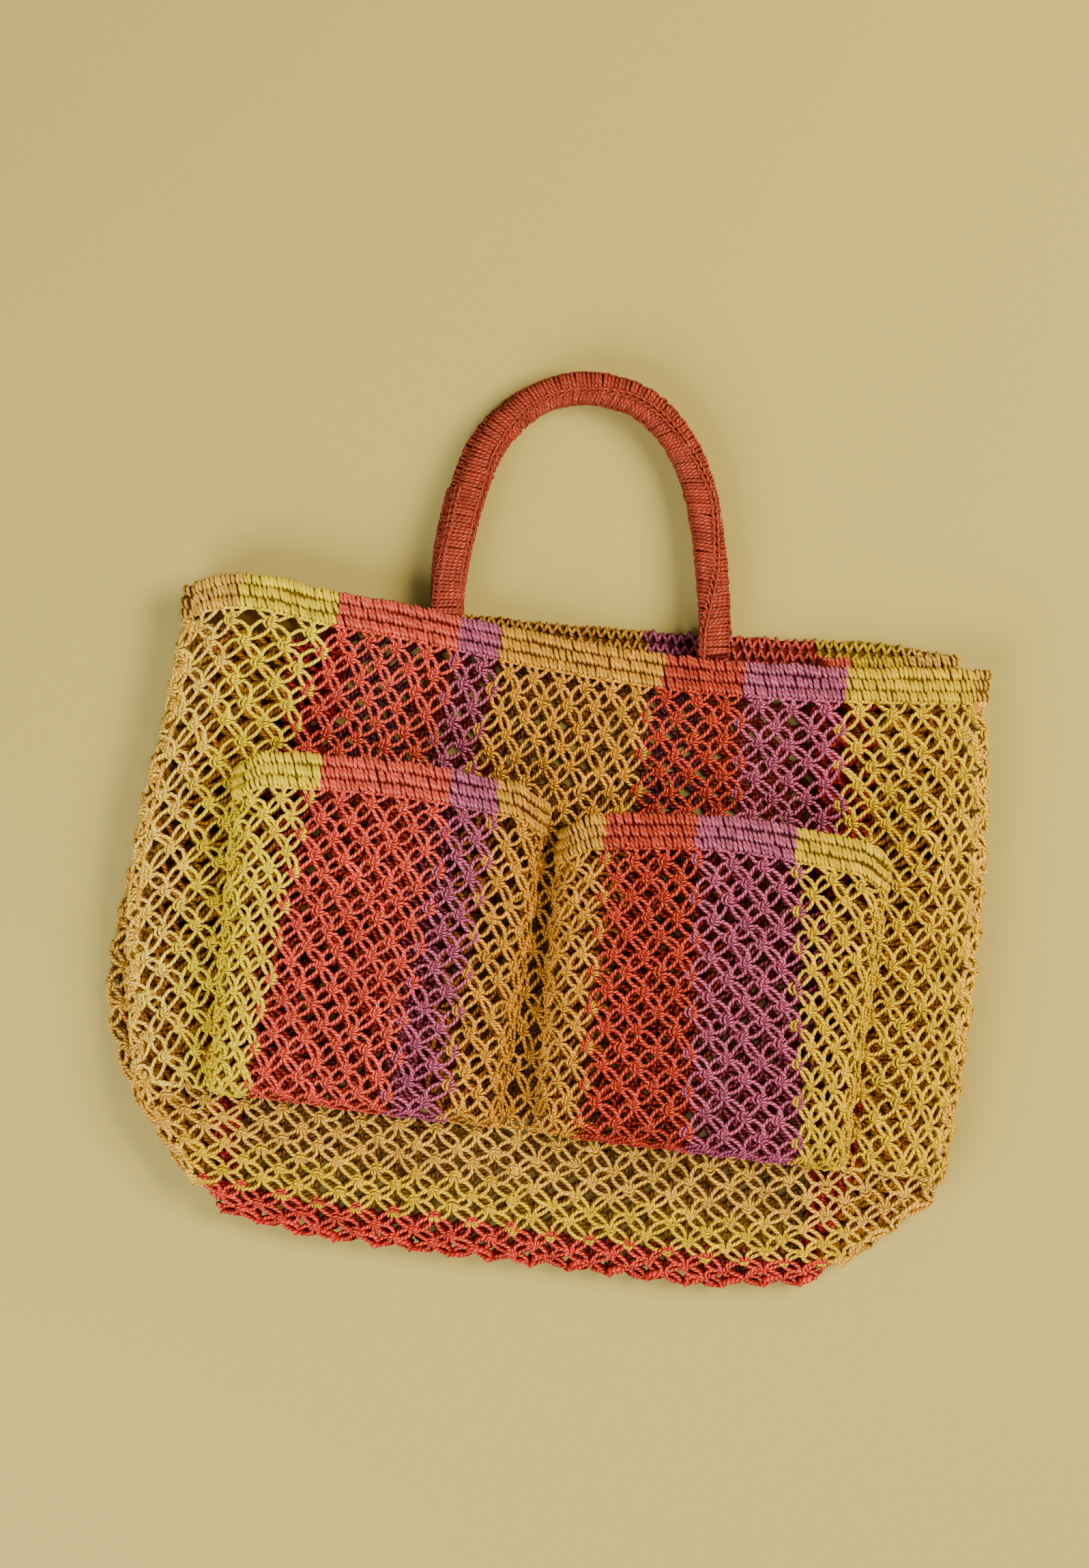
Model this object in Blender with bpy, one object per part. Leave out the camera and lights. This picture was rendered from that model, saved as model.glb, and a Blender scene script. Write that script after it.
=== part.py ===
"""A knotted jute tote bag, lying flat on its back with its two handles laid up past the mouth.

The bag is a front net, a back net and one long strip that runs down the left side, along the base and up
the right side. As the bag lies, the strip's sides are folded in between front and back, and its base is
folded along the middle. A wrapped band closes the mouth, and two bellows pockets stand on the front.

+X runs along the mouth, +Y from the base towards the handles and +Z up from the surface the bag lies on.
All sizes are in millimetres, and the meshes are scaled to metres as they are made.
"""

import math

import bmesh
import bpy
import numpy as np

METRES = 0.001
GAP = 0.3  # between neighbouring pieces
SHARP_ANGLE = 40.0  # degrees; edges that turn more than this are shaded sharp
SIDE_GAP = 0.7  # from the mouth band to the folded sides, whose slanting edges come nearer than their middles

# The origin, in the layout below: under the middle of the whole bag's box.
ORIGIN = (-2.2, -82.1)

NET_THICK = 3.0
BAND_THICK = 5.0
BAND_HEIGHT = 15.5  # three wrapped rows
BAND_GROOVE = 3.6  # the band's thickness between its rows
BAND_EDGE = 3.0  # and along its two edges
BAND_ROWS = 3
SEAM_Y = -221.0  # where front and back nets meet the base
FRONT_Z = 21.0  # the front net's mid-surface
MOUTH_SAG = 4.0  # the front's middle sinks this far at the mouth
SAG_ACROSS = (60.0, 110.0)  # fully up to the first distance from X = 0, and not at all past the second
SAG_REACH = 0.2  # and is level again at this share of the way down
FOLD_SPACING = 3.2  # of the two folded side layers, from mid-height
TURN = 3.2  # how far a side fold's round end reaches
HEM = 1.6  # the flat edge of the side strip that meets the front and the back
TUCK_END = 48.0  # the sides' fold reaches this far along the base
SIDE_ROWS = 7  # steps from the mouth to the seam
TURN_STEPS = 4  # round each of a side's three folds
SIDE_POINTS = 3 * (TURN_STEPS + 1) + 4  # across a folded side, from the front's edge to the back's
EDGE_POINT = 3  # of these, the one at the side's front edge, and as far from the end its rear edge
CREASE_POINT = SIDE_POINTS // 2
BACK_STEPS = 12  # across the back's top edge

# The edges of the bag's sides, in X, at each distance below the mouth: where the front and the back end,
# and where each side's fold reaches inwards.
SIDE_COLUMNS = (
    "below", "front_left", "front_right", "rear_left", "rear_right", "crease_left", "crease_right",
)
SIDES = [
    (0, -180.5, 179.5, -175.0, 166.0, -106.0, 104.0),
    (30, -182.0, 184.5, -180.0, 176.0, -108.0, 108.0),
    (60, -184.5, 187.5, -184.0, 183.0, -112.0, 112.0),
    (90, -188.0, 189.0, -188.0, 187.0, -116.0, 116.0),
    (120, -189.0, 190.0, -191.0, 188.5, -119.0, 119.0),
    (150, -188.0, 190.0, -194.0, 189.0, -122.0, 122.0),
    (180, -184.0, 189.5, -194.5, 188.0, -125.0, 126.0),
    (205, -179.5, 188.0, -188.5, 186.0, -127.0, 129.0),
    (221, -176.0, 186.5, -181.0, 183.5, -128.0, 130.0),
]
# The folded base: its ends are tucked in along slanting folds.
BASE_COLUMNS = ("past_seam", "left", "right", "top_z", "bottom_z")
BASE = [
    (0.0, -176.0, 186.5, 21.0, 1.5),
    (12.0, -171.0, 182.0, 20.8, 1.5),
    (24.0, -163.0, 170.5, 20.3, 1.5),
    (38.0, -152.5, 157.0, 19.3, 1.5),
    (48.0, -145.0, 148.0, 17.8, 1.5),
    (53.0, -141.5, 143.5, 15.9, 2.4),
    (56.5, -138.5, 141.0, 13.4, 4.4),
    (58.8, -136.0, 139.0, 11.0, 6.8),
    (59.5, -134.5, 138.0, 8.9, 8.9),
]
BASE_EDGE_LIFT = 0.12  # the fold line curves back towards its ends by this share
EDGE_LIFT_ACROSS = (80.0, 145.0)  # between these distances to both sides of X = 0

# The mouth's top line, in Y, for the front and the back.
MOUTH_FRONT = [
    (-180, 2.0), (-172, 6.2), (-112, 7.3), (-56, 3.5), (-37, 1.6),
    (0, -0.9), (36, -2.0), (73, -1.0), (118, 2.1), (181, 9.0),
]
MOUTH_BACK = [
    (-176, 1.0), (-120, 3.5), (-50, 5.0), (0, 6.5), (28, 7.8), (103, 12.8), (133, 15.3), (167, 13.7),
]
# The mouth's top line at each side's crease, and how much further the layer behind it reaches.
MOUTH_CREASE = {"left": -1.0, "right": 1.5}
CREASE_STEP = 3.0

# A pocket: the ends of its mouth in X, the ends of its foot, and its top line's Y at three places.
POCKET_COLUMNS = ("name", "left", "right", "foot_left", "foot_right", "top_left", "top_middle", "top_right")
POCKETS = [
    ("pocket_left", -147.0, -9.0, -142.0, -12.5, -68.0, -64.5, -68.0),
    ("pocket_right", -0.6, 145.5, 4.0, 142.0, -78.5, -70.5, -74.5),
]
POCKET_BOTTOM = -220.5
POCKET_RISE = 16.0
POCKET_END_DROP = 7.0  # the band's ends slope down by this much as they reach the front net
END_DROP_ACROSS = (-1.0, 14.0)  # between these distances in from the pocket's ends
# The pocket's wall, from its foot: how far in, and what share of the rise.
WALL_STEPS = [(0.0, 0.0), (1.4, 0.36), (2.9, 0.66), (5.4, 0.89), (9.0, 1.0)]
POCKET_LIFT = 1.1  # from the front net's face to the middle of the pocket's foot
POCKET_GAP = 1.2  # from a pocket's band down to its net, whose walls slant where they meet
POCKET_BAND_LIFT = 0.4  # a pocket's band stands out past its net's mid-surface
CORNER_LIFT = 1.0  # the foot's flat corners lie a little higher

HANDLE_WIDTH = 14.0
HANDLE_SIDES = 12
ROUTE_SAMPLES = 400  # along a handle's smooth curve, before it is evened out
HANDLE_STEPS = 40
FRONT_HANDLE = [
    (-64.2, 4.5), (-64.4, 20), (-62.7, 40), (-59.6, 60), (-53.8, 81), (-43.3, 96.8), (-29.3, 107.9),
    (-12.5, 112.5), (4.1, 111.1), (14.9, 106.8), (24.9, 99.2), (35.8, 85.5), (43.4, 68.9), (48.3, 52.2),
    (52.3, 34.3), (55.5, 14), (57.3, -1),
]
BACK_HANDLE = [
    (-64.2, 5.0), (-66.4, 22), (-66.2, 40), (-63.2, 60), (-57.2, 82), (-45.2, 98.2), (-29.7, 108.3),
    (-12.5, 112.5), (4.1, 111.1), (14.9, 106.8), (24.9, 99.2), (35.8, 85.5), (43.4, 68.9), (48.3, 52.2),
    (52.3, 34.3), (56.0, 18), (57.3, 10),
]
# Along a handle: the share of its length, its thickness, and the height of the front handle's underside.
HANDLE_COLUMNS = ("share", "thick", "underside")
HANDLE_PROFILE = [
    (0.0, 5.0, 14.6),
    (0.1, 9.4, 12.4),
    (0.3, 9.4, 9.9),
    (0.7, 9.4, 9.9),
    (0.9, 9.4, 12.4),
    (1.0, 5.0, 14.6),
]
HANDLE_SQUARENESS = 0.8  # the power that turns a handle's round section a little square

# The diamond meshes of the nets: the cells across and down, and the hole's share of its diamond.
FRONT_CELLS = (26, 14)
BASE_CELLS = (24, 6)
BASE_CELLS_REACH = 122.0
POCKET_CELLS = (12, 12)
POCKET_CELLS_INSET = 13.0
HOLE = 0.62
CORNER_LIMIT = 1.25  # a sheet's corner is at most this much thicker than its middle
POCKET_CLEARANCE = 11.0  # the front net is whole this far round a pocket

COLOURS = {
    "front_net": (0.62, 0.17, 0.11),
    "back_net": (0.60, 0.18, 0.12),
    "side_and_base_net": (0.66, 0.47, 0.20),
    "mouth_band": (0.68, 0.42, 0.10),
    "pocket_left_net": (0.63, 0.18, 0.13),
    "pocket_left_band": (0.60, 0.16, 0.11),
    "pocket_right_net": (0.45, 0.16, 0.26),
    "pocket_right_band": (0.60, 0.20, 0.10),
    "handle_front": (0.58, 0.12, 0.07),
    "handle_back": (0.52, 0.10, 0.06),
}


def clear_scene():
    for obj in list(bpy.data.objects):
        bpy.data.objects.remove(obj, do_unlink=True)


def material(name):
    mat = bpy.data.materials.new(name + "_jute")
    mat.use_nodes = True
    shader = mat.node_tree.nodes["Principled BSDF"]
    shader.inputs["Base Color"].default_value = (*COLOURS[name], 1.0)
    shader.inputs["Roughness"].default_value = 0.9
    shader.inputs["Metallic"].default_value = 0.0
    return mat


def ease(low, high, value):
    """0 below low, 1 above high, and smooth between."""
    t = min(max((value - low) / (high - low), 0.0), 1.0)
    return t * t * (3 - 2 * t)


def curve_through(points, at):
    """A smooth curve through points (x, y), read at one x."""
    xs = [p[0] for p in points]
    ys = [p[1] for p in points]
    at = min(max(at, xs[0]), xs[-1])
    k = min(max(int(np.searchsorted(xs, at)) - 1, 0), len(xs) - 2)
    slopes = np.gradient(ys, xs)
    span = xs[k + 1] - xs[k]
    t = (at - xs[k]) / span
    a, b = ys[k], ys[k + 1]
    return (
        a * (1 + 2 * t) * (1 - t) ** 2
        + slopes[k] * span * t * (1 - t) ** 2
        + b * t * t * (3 - 2 * t)
        + slopes[k + 1] * span * t * t * (t - 1)
    )


def column(table, names, name):
    """A table's named column as points against its first column."""
    return [(row[0], row[names.index(name)]) for row in table]


def side(name, share):
    """A side's named column at a share of the way from the mouth to the seam, straight from row to row."""
    rows = np.linspace(0.0, 1.0, SIDE_ROWS + 1)
    values = [curve_through(column(SIDES, SIDE_COLUMNS, name), row * -SEAM_Y) for row in rows]
    return float(np.interp(share, rows, values))


def base(name, past_seam):
    """The folded base's named column at a distance past the seam, straight from row to row."""
    return float(np.interp(past_seam, *zip(*column(BASE, BASE_COLUMNS, name))))


def front_z(x, share):
    """The front's mid-surface, which sinks in the middle near the mouth. share is 1 at the seam."""
    sag = 1.0 - ease(*SAG_ACROSS, abs(x))
    return FRONT_Z - MOUTH_SAG * sag * (1.0 - ease(0.0, SAG_REACH, share))


def hang(top_y, share, gap=GAP):
    """Y at a share of the way from just under the mouth band down to the seam."""
    start = top_y - BAND_HEIGHT - gap
    return start + (SEAM_Y - start) * share


def half_turn(x, z_start, z_end, towards):
    """Points of a half turn from z_start to z_end whose outermost point is x, going towards +1 or -1."""
    middle = (z_start + z_end) / 2
    radius = (z_start - z_end) / 2
    angles = [math.pi / 2 - math.pi * k / TURN_STEPS for k in range(TURN_STEPS + 1)]
    return [(x - towards * TURN * (1 - math.cos(a)), middle + radius * math.sin(a)) for a in angles]


def side_layers(front_x, rear_x, crease_x, z_top, z_bottom):
    """A side's cross-section (x, z) from the front's edge to the back's: in to the crease and out again."""
    towards = 1 if front_x > 0 else -1
    middle = (z_top + z_bottom) / 2
    outer = half_turn(front_x, z_top, middle + FOLD_SPACING, towards)
    crease = half_turn(crease_x, middle + FOLD_SPACING, middle - FOLD_SPACING, -towards)
    rear = half_turn(rear_x, middle - FOLD_SPACING, z_bottom, towards)
    mid_front = ((outer[-1][0] + crease[0][0]) / 2, middle + FOLD_SPACING)
    mid_rear = ((crease[-1][0] + rear[0][0]) / 2, middle - FOLD_SPACING)
    outer.insert(0, (outer[0][0] - towards * HEM, z_top))
    rear.append((rear[-1][0] - towards * HEM, z_bottom))
    return outer + [mid_front] + crease + [mid_rear] + rear


def side_wall(edge_x, z_top, z_bottom):
    """A side with no fold left in it: one round wall from top to bottom."""
    towards = 1 if edge_x > 0 else -1
    reach = (z_top - z_bottom) / 2
    angles = [math.pi / 2 - math.pi * k / (SIDE_POINTS - 3) for k in range(SIDE_POINTS - 2)]
    wall = [
        (edge_x - towards * TURN * (1 - math.cos(a)), (z_top + z_bottom) / 2 + reach * math.sin(a))
        for a in angles
    ]
    inner_x = wall[0][0] - towards * HEM
    return [(inner_x, z_top)] + wall + [(inner_x, z_bottom)]


class Sheet:
    """A sheet's mid-surface. Points that fall together are one point."""

    def __init__(self):
        self.index = {}
        self.points = []
        self.thick = []
        self.faces = []

    def at(self, xyz, thick=NET_THICK):
        key = tuple(round(float(v), 3) for v in xyz)
        if key not in self.index:
            self.index[key] = len(self.points)
            self.points.append(tuple(float(v) for v in xyz))
            self.thick.append(thick)
        return self.index[key]

    def face(self, corners):
        kept = [c for k, c in enumerate(corners) if c != corners[k - 1]]
        if len(set(kept)) > 2:
            self.faces.append(kept)

    def quads(self, place, columns, rows):
        """place(c, r) gives a point for each whole c and r in the two ranges."""
        for c in range(*columns):
            for r in range(*rows):
                corners = [(c, r), (c + 1, r), (c + 1, r + 1), (c, r + 1)]
                self.face([self.at(place(*corner)) for corner in corners])

    def diamonds(self, place, across, down, is_cut):
        """Diamond cells over a grid. Their corners are where c + r is even."""
        for c in range(across + 1):
            for r in range(down + 1):
                if (c + r) % 2 == 0:
                    continue
                ring = [(c - 1, r), (c, r - 1), (c + 1, r), (c, r + 1)]
                inside = [p for p in ring if 0 <= p[0] <= across and 0 <= p[1] <= down]
                if len(inside) == 4:
                    self.diamond(place, ring, (c, r), is_cut(place(c, r)))
                else:
                    self.border_piece(place, inside + [(c, r)])

    def diamond(self, place, ring, centre, cut):
        corners = [self.at(place(*p)) for p in ring]
        if not cut:
            self.face(corners)
            return
        hole = [
            self.at(place(centre[0] + HOLE * (p[0] - centre[0]), centre[1] + HOLE * (p[1] - centre[1])))
            for p in ring
        ]
        for k in range(4):
            n = (k + 1) % 4
            self.face([corners[k], corners[n], hole[n], hole[k]])

    def border_piece(self, place, keys):
        middle = np.mean(keys, axis=0)
        turn = sorted(keys, key=lambda p: math.atan2(p[1] - middle[1], p[0] - middle[0]))
        self.face([self.at(place(*p)) for p in turn])

    def solid(self, name):
        """Thickens the mid-surface to both sides and walls its edges."""
        flat = bmesh.new()
        verts = [flat.verts.new(p) for p in self.points]
        for corners in self.faces:
            flat.faces.new([verts[c] for c in corners])
        bmesh.ops.triangulate(flat, faces=flat.faces[:])
        flat.normal_update()
        flat.verts.ensure_lookup_table()
        out = bmesh.new()
        upper, lower = [], []
        for vert, thick in zip(flat.verts, self.thick):
            reach = vert.normal * (thick / 2 * min(vert.calc_shell_factor(), CORNER_LIMIT))
            upper.append(out.verts.new((vert.co + reach) * METRES))
            lower.append(out.verts.new((vert.co - reach) * METRES))
        for face in flat.faces:
            ids = [v.index for v in face.verts]
            out.faces.new([upper[i] for i in ids])
            out.faces.new([lower[i] for i in reversed(ids)])
        for edge in flat.edges:
            if len(edge.link_faces) == 1:
                a, b = (loop.vert.index for loop in (edge.link_loops[0], edge.link_loops[0].link_loop_next))
                out.faces.new([upper[b], upper[a], lower[a], lower[b]])
        flat.free()
        return add_object(name, out)


def add_object(name, mesh_data):
    bmesh.ops.recalc_face_normals(mesh_data, faces=mesh_data.faces[:])
    mesh = bpy.data.meshes.new(name)
    mesh_data.to_mesh(mesh)
    mesh_data.free()
    mesh.shade_smooth()
    mesh.set_sharp_from_angle(angle=math.radians(SHARP_ANGLE))
    obj = bpy.data.objects.new(name, mesh)
    obj.location = (-ORIGIN[0] * METRES, -ORIGIN[1] * METRES, 0.0)
    mesh.materials.append(material(name))
    bpy.context.scene.collection.objects.link(obj)
    return obj


def in_a_pocket(point):
    """Whether a point of the front lies behind a pocket or close round it."""
    x, y, _ = point
    for pocket in POCKETS:
        _, left, right, _, _, _, top, _ = pocket
        if left - POCKET_CLEARANCE < x < right + POCKET_CLEARANCE and y < top + POCKET_CLEARANCE:
            return True
    return False


def make_front_net():
    across, down = FRONT_CELLS

    def place(c, r):
        share = r / down
        left = side("front_left", share) + TURN + HEM + GAP
        right = side("front_right", share) - TURN - HEM - GAP
        x = left + (right - left) * c / across
        return (x, hang(curve_through(MOUTH_FRONT, x), share), front_z(x, share))

    sheet = Sheet()
    sheet.diamonds(place, across, down, lambda point: not in_a_pocket(point))
    sheet.solid("front_net")


def make_back_net():
    """The back lies flat on the surface."""
    sheet = Sheet()
    z = NET_THICK / 2
    shares = [k / SIDE_ROWS for k in range(SIDE_ROWS + 1)]
    left = [side("rear_left", s) + TURN + HEM + GAP for s in shares]
    right = [side("rear_right", s) - TURN - HEM - GAP for s in shares]
    mouth = np.linspace(left[0], right[0], BACK_STEPS + 1)[1:-1]
    outline = [(x, hang(curve_through(MOUTH_BACK, x), s), z) for x, s in zip(left, shares)]
    outline += [(x, hang(curve_through(MOUTH_BACK, x), s), z) for x, s in list(zip(right, shares))[::-1]]
    outline += [(x, hang(curve_through(MOUTH_BACK, x), 0.0), z) for x in mouth[::-1]]
    sheet.face([sheet.at(p) for p in outline])
    sheet.solid("back_net")


def fold_y(x, past_seam):
    """The base's Y: its fold line curves back towards the two ends."""
    lift = BASE_EDGE_LIFT * ease(*EDGE_LIFT_ACROSS, abs(x))
    return SEAM_Y - GAP - past_seam * (1.0 - lift)


def mouth_of_side(which, k):
    """The mouth line at a side's cross-section point k, from the front's edge to the back's."""
    edge, rear = side("front_" + which, 0.0), side("rear_" + which, 0.0)
    inward = (TURN + HEM) * (1 if which == "left" else -1)
    crease = MOUTH_CREASE[which]
    ys = [curve_through(MOUTH_FRONT, edge + inward), curve_through(MOUTH_FRONT, edge), crease]
    ys += [crease + CREASE_STEP, curve_through(MOUTH_BACK, rear), curve_through(MOUTH_BACK, rear + inward)]
    last = SIDE_POINTS - 1
    places = [0, EDGE_POINT, CREASE_POINT - 1, CREASE_POINT + 1, last - EDGE_POINT, last]
    return float(np.interp(k, places, ys))


def side_row(which, row):
    """One row of a side: ("side", share down it) or ("base", distance past the seam)."""
    kind, value = row
    if kind == "side":
        edges = [side(edge + which, value) for edge in ("front_", "rear_", "crease_")]
        layers = side_layers(*edges, FRONT_Z, NET_THICK / 2)
        return [(x, hang(mouth_of_side(which, k), value, SIDE_GAP), z) for k, (x, z) in enumerate(layers)]
    edge, top, bottom = base(which, value), base("top_z", value), base("bottom_z", value)
    if value <= TUCK_END:
        rear = edge + (side("rear_" + which, 1.0) - side("front_" + which, 1.0)) * (1 - value / TUCK_END)
        layers = side_layers(edge, rear, side("crease_" + which, 1.0), top, bottom)
    else:
        layers = side_wall(edge, top, bottom)
    return [(x, fold_y(edge, value), z) for x, z in layers]


def make_side_and_base_net():
    """The strip: both folded sides, and the base folded along its middle."""
    sheet = Sheet()
    across, down = BASE_CELLS
    tuck_rows = [TUCK_END * r / down for r in range(down + 1)]
    rows = [("side", k / SIDE_ROWS) for k in range(SIDE_ROWS + 1)]
    first_base = len(rows)
    rows += [("base", t) for t in tuck_rows + [row[0] for row in BASE if row[0] > TUCK_END]]
    for which in ("left", "right"):
        grid = [side_row(which, row) for row in rows]
        sheet.quads(lambda c, r, grid=grid: grid[r][c], (0, SIDE_POINTS - 1), (0, first_base - 1))
        sheet.quads(lambda c, r, grid=grid: grid[r][c], (0, SIDE_POINTS - 1), (first_base - 1, len(rows) - 1))
    sheet_base(sheet, rows[first_base:])
    orient(sheet)
    sheet.solid("side_and_base_net")


def orient(sheet):
    """Makes the faces of a sheet agree in their turning."""
    mesh = bmesh.new()
    verts = [mesh.verts.new(p) for p in sheet.points]
    for corners in sheet.faces:
        mesh.faces.new([verts[c] for c in corners])
    mesh.verts.index_update()
    bmesh.ops.recalc_face_normals(mesh, faces=mesh.faces[:])
    sheet.faces = [[v.index for v in face.verts] for face in mesh.faces]
    mesh.free()


def sheet_base(sheet, rows):
    """The base's upper layer with its diamonds, its round fold and its lower layer."""
    across, down = BASE_CELLS
    left = [side_row("left", row) for row in rows]
    right = [side_row("right", row) for row in rows]

    def upper(c, r):
        t = TUCK_END * r / down
        x = BASE_CELLS_REACH * (2 * c / across - 1)
        return (x, fold_y(x, t), base("top_z", t))

    sheet.diamonds(upper, across, down, cut_all)
    for r in range(down):
        for c, end in ((0, left), (across, right)):
            sheet.face([sheet.at(p) for p in (end[r][0], upper(c, r), upper(c, r + 1), end[r + 1][0])])

    def folded(layer, r):
        """A whole row of the upper (0) or lower (-1) layer past the diamonds."""
        t = rows[r][1]
        z = base("top_z" if layer == 0 else "bottom_z", t)
        xs = [BASE_CELLS_REACH * (2 * c / across - 1) for c in range(across + 1)]
        return [left[r][layer]] + [(x, fold_y(x, t), z) for x in xs] + [right[r][layer]]

    last = len(rows) - 1
    for layer in (0, -1):
        for r in range(down, last):
            near, far = folded(layer, r), folded(layer, r + 1)
            for c in range(len(near) - 1):
                sheet.face([sheet.at(p) for p in (near[c], near[c + 1], far[c + 1], far[c])])
    rim = [left[r][-1] for r in range(down)] + folded(-1, down) + [right[r][-1] for r in range(down)][::-1]
    sheet.face([sheet.at(p) for p in rim])


def cut_all(_point):
    return True


def band_profile():
    """Across a band: the share of its height, and its thickness, for its rounded rows."""
    thick = [BAND_EDGE] + [BAND_THICK, BAND_GROOVE] * (BAND_ROWS - 1) + [BAND_THICK, BAND_EDGE]
    return [(k / (len(thick) - 1), t) for k, t in enumerate(thick)]


def make_band(name, line, closed):
    """line holds (x, top y, z) along the band."""
    sheet = Sheet()
    count = len(line)
    rows = [
        [sheet.at((x, y - share * BAND_HEIGHT, z), thick) for x, y, z in line]
        for share, thick in band_profile()
    ]
    for near, far in zip(rows, rows[1:]):
        for c in range(count if closed else count - 1):
            n = (c + 1) % count
            sheet.face([near[c], near[n], far[n], far[c]])
    sheet.solid(name)


def make_mouth_band():
    low = BAND_THICK / 2
    front = np.linspace(SIDES[0][1] + TURN + HEM, SIDES[0][2] - TURN - HEM, FRONT_CELLS[0] + 1)
    line = [(x, curve_through(MOUTH_FRONT, x), front_z(x, 0.0)) for x in front]
    right = side_layers(SIDES[0][2], SIDES[0][4], SIDES[0][6], FRONT_Z, low)
    line += [(x, mouth_of_side("right", k), z) for k, (x, z) in enumerate(right)][1:-1]
    back = np.linspace(SIDES[0][4] - TURN - HEM, SIDES[0][3] + TURN + HEM, BACK_STEPS + 1)
    line += [(x, curve_through(MOUTH_BACK, x), low) for x in back]
    left = side_layers(SIDES[0][1], SIDES[0][3], SIDES[0][5], FRONT_Z, low)
    line += [(x, mouth_of_side("left", k), z) for k, (x, z) in enumerate(left)][1:-1][::-1]
    make_band("mouth_band", line, closed=True)


def pocket_size(pocket):
    return dict(zip(POCKET_COLUMNS, pocket))


def wall_share(distance):
    """The share of the rise at a distance in from the pocket's foot."""
    xs, ys = zip(*WALL_STEPS)
    return float(np.interp(distance, xs, ys))


def pocket_places(width):
    """How far in from the left edge each column of a pocket lies: wall, cells and wall."""
    steps = [d for d, _ in WALL_STEPS]
    inner = list(np.linspace(POCKET_CELLS_INSET, width - POCKET_CELLS_INSET, POCKET_CELLS[0] + 1))
    return steps + inner + [width - d for d in reversed(steps)]


def pocket_top(size, x):
    """The pocket's mouth line: an arch that slopes down at its ends."""
    middle = (size["left"] + size["right"]) / 2
    across = (size["left"], middle, size["right"])
    tops = (size["top_left"], size["top_middle"], size["top_right"])
    top = curve_through(list(zip(across, tops)), x)
    near = min(x - size["left"], size["right"] - x)
    return top - POCKET_END_DROP * (1 - ease(*END_DROP_ACROSS, near))


def pocket_surface(size, x, y, share_down, bottom_distance):
    """A point of the pocket's mid-surface. share_down is 0 at its mouth and 1 at its bottom."""
    left = size["left"] + (size["foot_left"] - size["left"]) * share_down
    right = size["right"] + (size["foot_right"] - size["right"]) * share_down
    beside = wall_share(min(x - left, right - x))
    below = wall_share(bottom_distance)
    rise = POCKET_RISE * beside * below + CORNER_LIFT * (1 - beside) * (1 - below)
    share = (y - SEAM_Y) / -SEAM_Y
    return (x, y, front_z(x, 1 - share) + NET_THICK / 2 + POCKET_LIFT + rise)


def make_pocket_net(pocket):
    size = pocket_size(pocket)
    across, down = POCKET_CELLS
    wall = len(WALL_STEPS)
    last = wall + across + wall

    def place(c, r):
        """Columns run from foot to foot. Rows run down the face, then down the bottom wall."""
        face_end = POCKET_BOTTOM + POCKET_CELLS_INSET
        walls = [d for d, _ in reversed(WALL_STEPS)]
        if r <= down:
            share = r / down
            bottom = POCKET_CELLS_INSET
        else:
            share = 1.0
            bottom = float(np.interp(r, range(down + 1, down + 1 + wall), walls))
        left = size["left"] + (size["foot_left"] - size["left"]) * share
        right = size["right"] + (size["foot_right"] - size["right"]) * share
        places = pocket_places(right - left)
        x = left + float(np.interp(c, range(len(places)), places))
        top = pocket_top(size, x) - BAND_HEIGHT - POCKET_GAP
        y = top + (face_end - top) * share if r <= down else POCKET_BOTTOM + bottom
        return pocket_surface(size, x, y, share, bottom)

    sheet = Sheet()
    sheet.quads(place, (0, wall), (0, down + wall))
    sheet.quads(place, (last - wall, last), (0, down + wall))
    sheet.quads(place, (wall, last - wall), (down, down + wall))
    sheet.diamonds(lambda c, r: place(c + wall, r), across, down, cut_all)
    sheet.solid(size["name"] + "_net")


def make_pocket_band(pocket):
    size = pocket_size(pocket)
    line = []
    for d in pocket_places(size["right"] - size["left"]):
        x = size["left"] + d
        y = pocket_top(size, x)
        z = pocket_surface(size, x, y, 0.0, POCKET_CELLS_INSET)[2]
        line.append((x, y, z + POCKET_BAND_LIFT))
    make_band(size["name"] + "_band", line, closed=False)


def along(points, count):
    """count points evenly spaced on a smooth curve through points."""
    route = [(k, p) for k, p in enumerate(points)]
    fine = np.linspace(0, len(points) - 1, ROUTE_SAMPLES)
    xs = [curve_through([(k, p[0]) for k, p in route], t) for t in fine]
    ys = [curve_through([(k, p[1]) for k, p in route], t) for t in fine]
    run = np.concatenate([[0], np.cumsum(np.hypot(np.diff(xs), np.diff(ys)))])
    even = np.linspace(0, run[-1], count)
    return np.interp(even, run, xs), np.interp(even, run, ys)


def handle_profile(name, share):
    return float(np.interp(share, *zip(*column(HANDLE_PROFILE, HANDLE_COLUMNS, name))))


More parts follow.
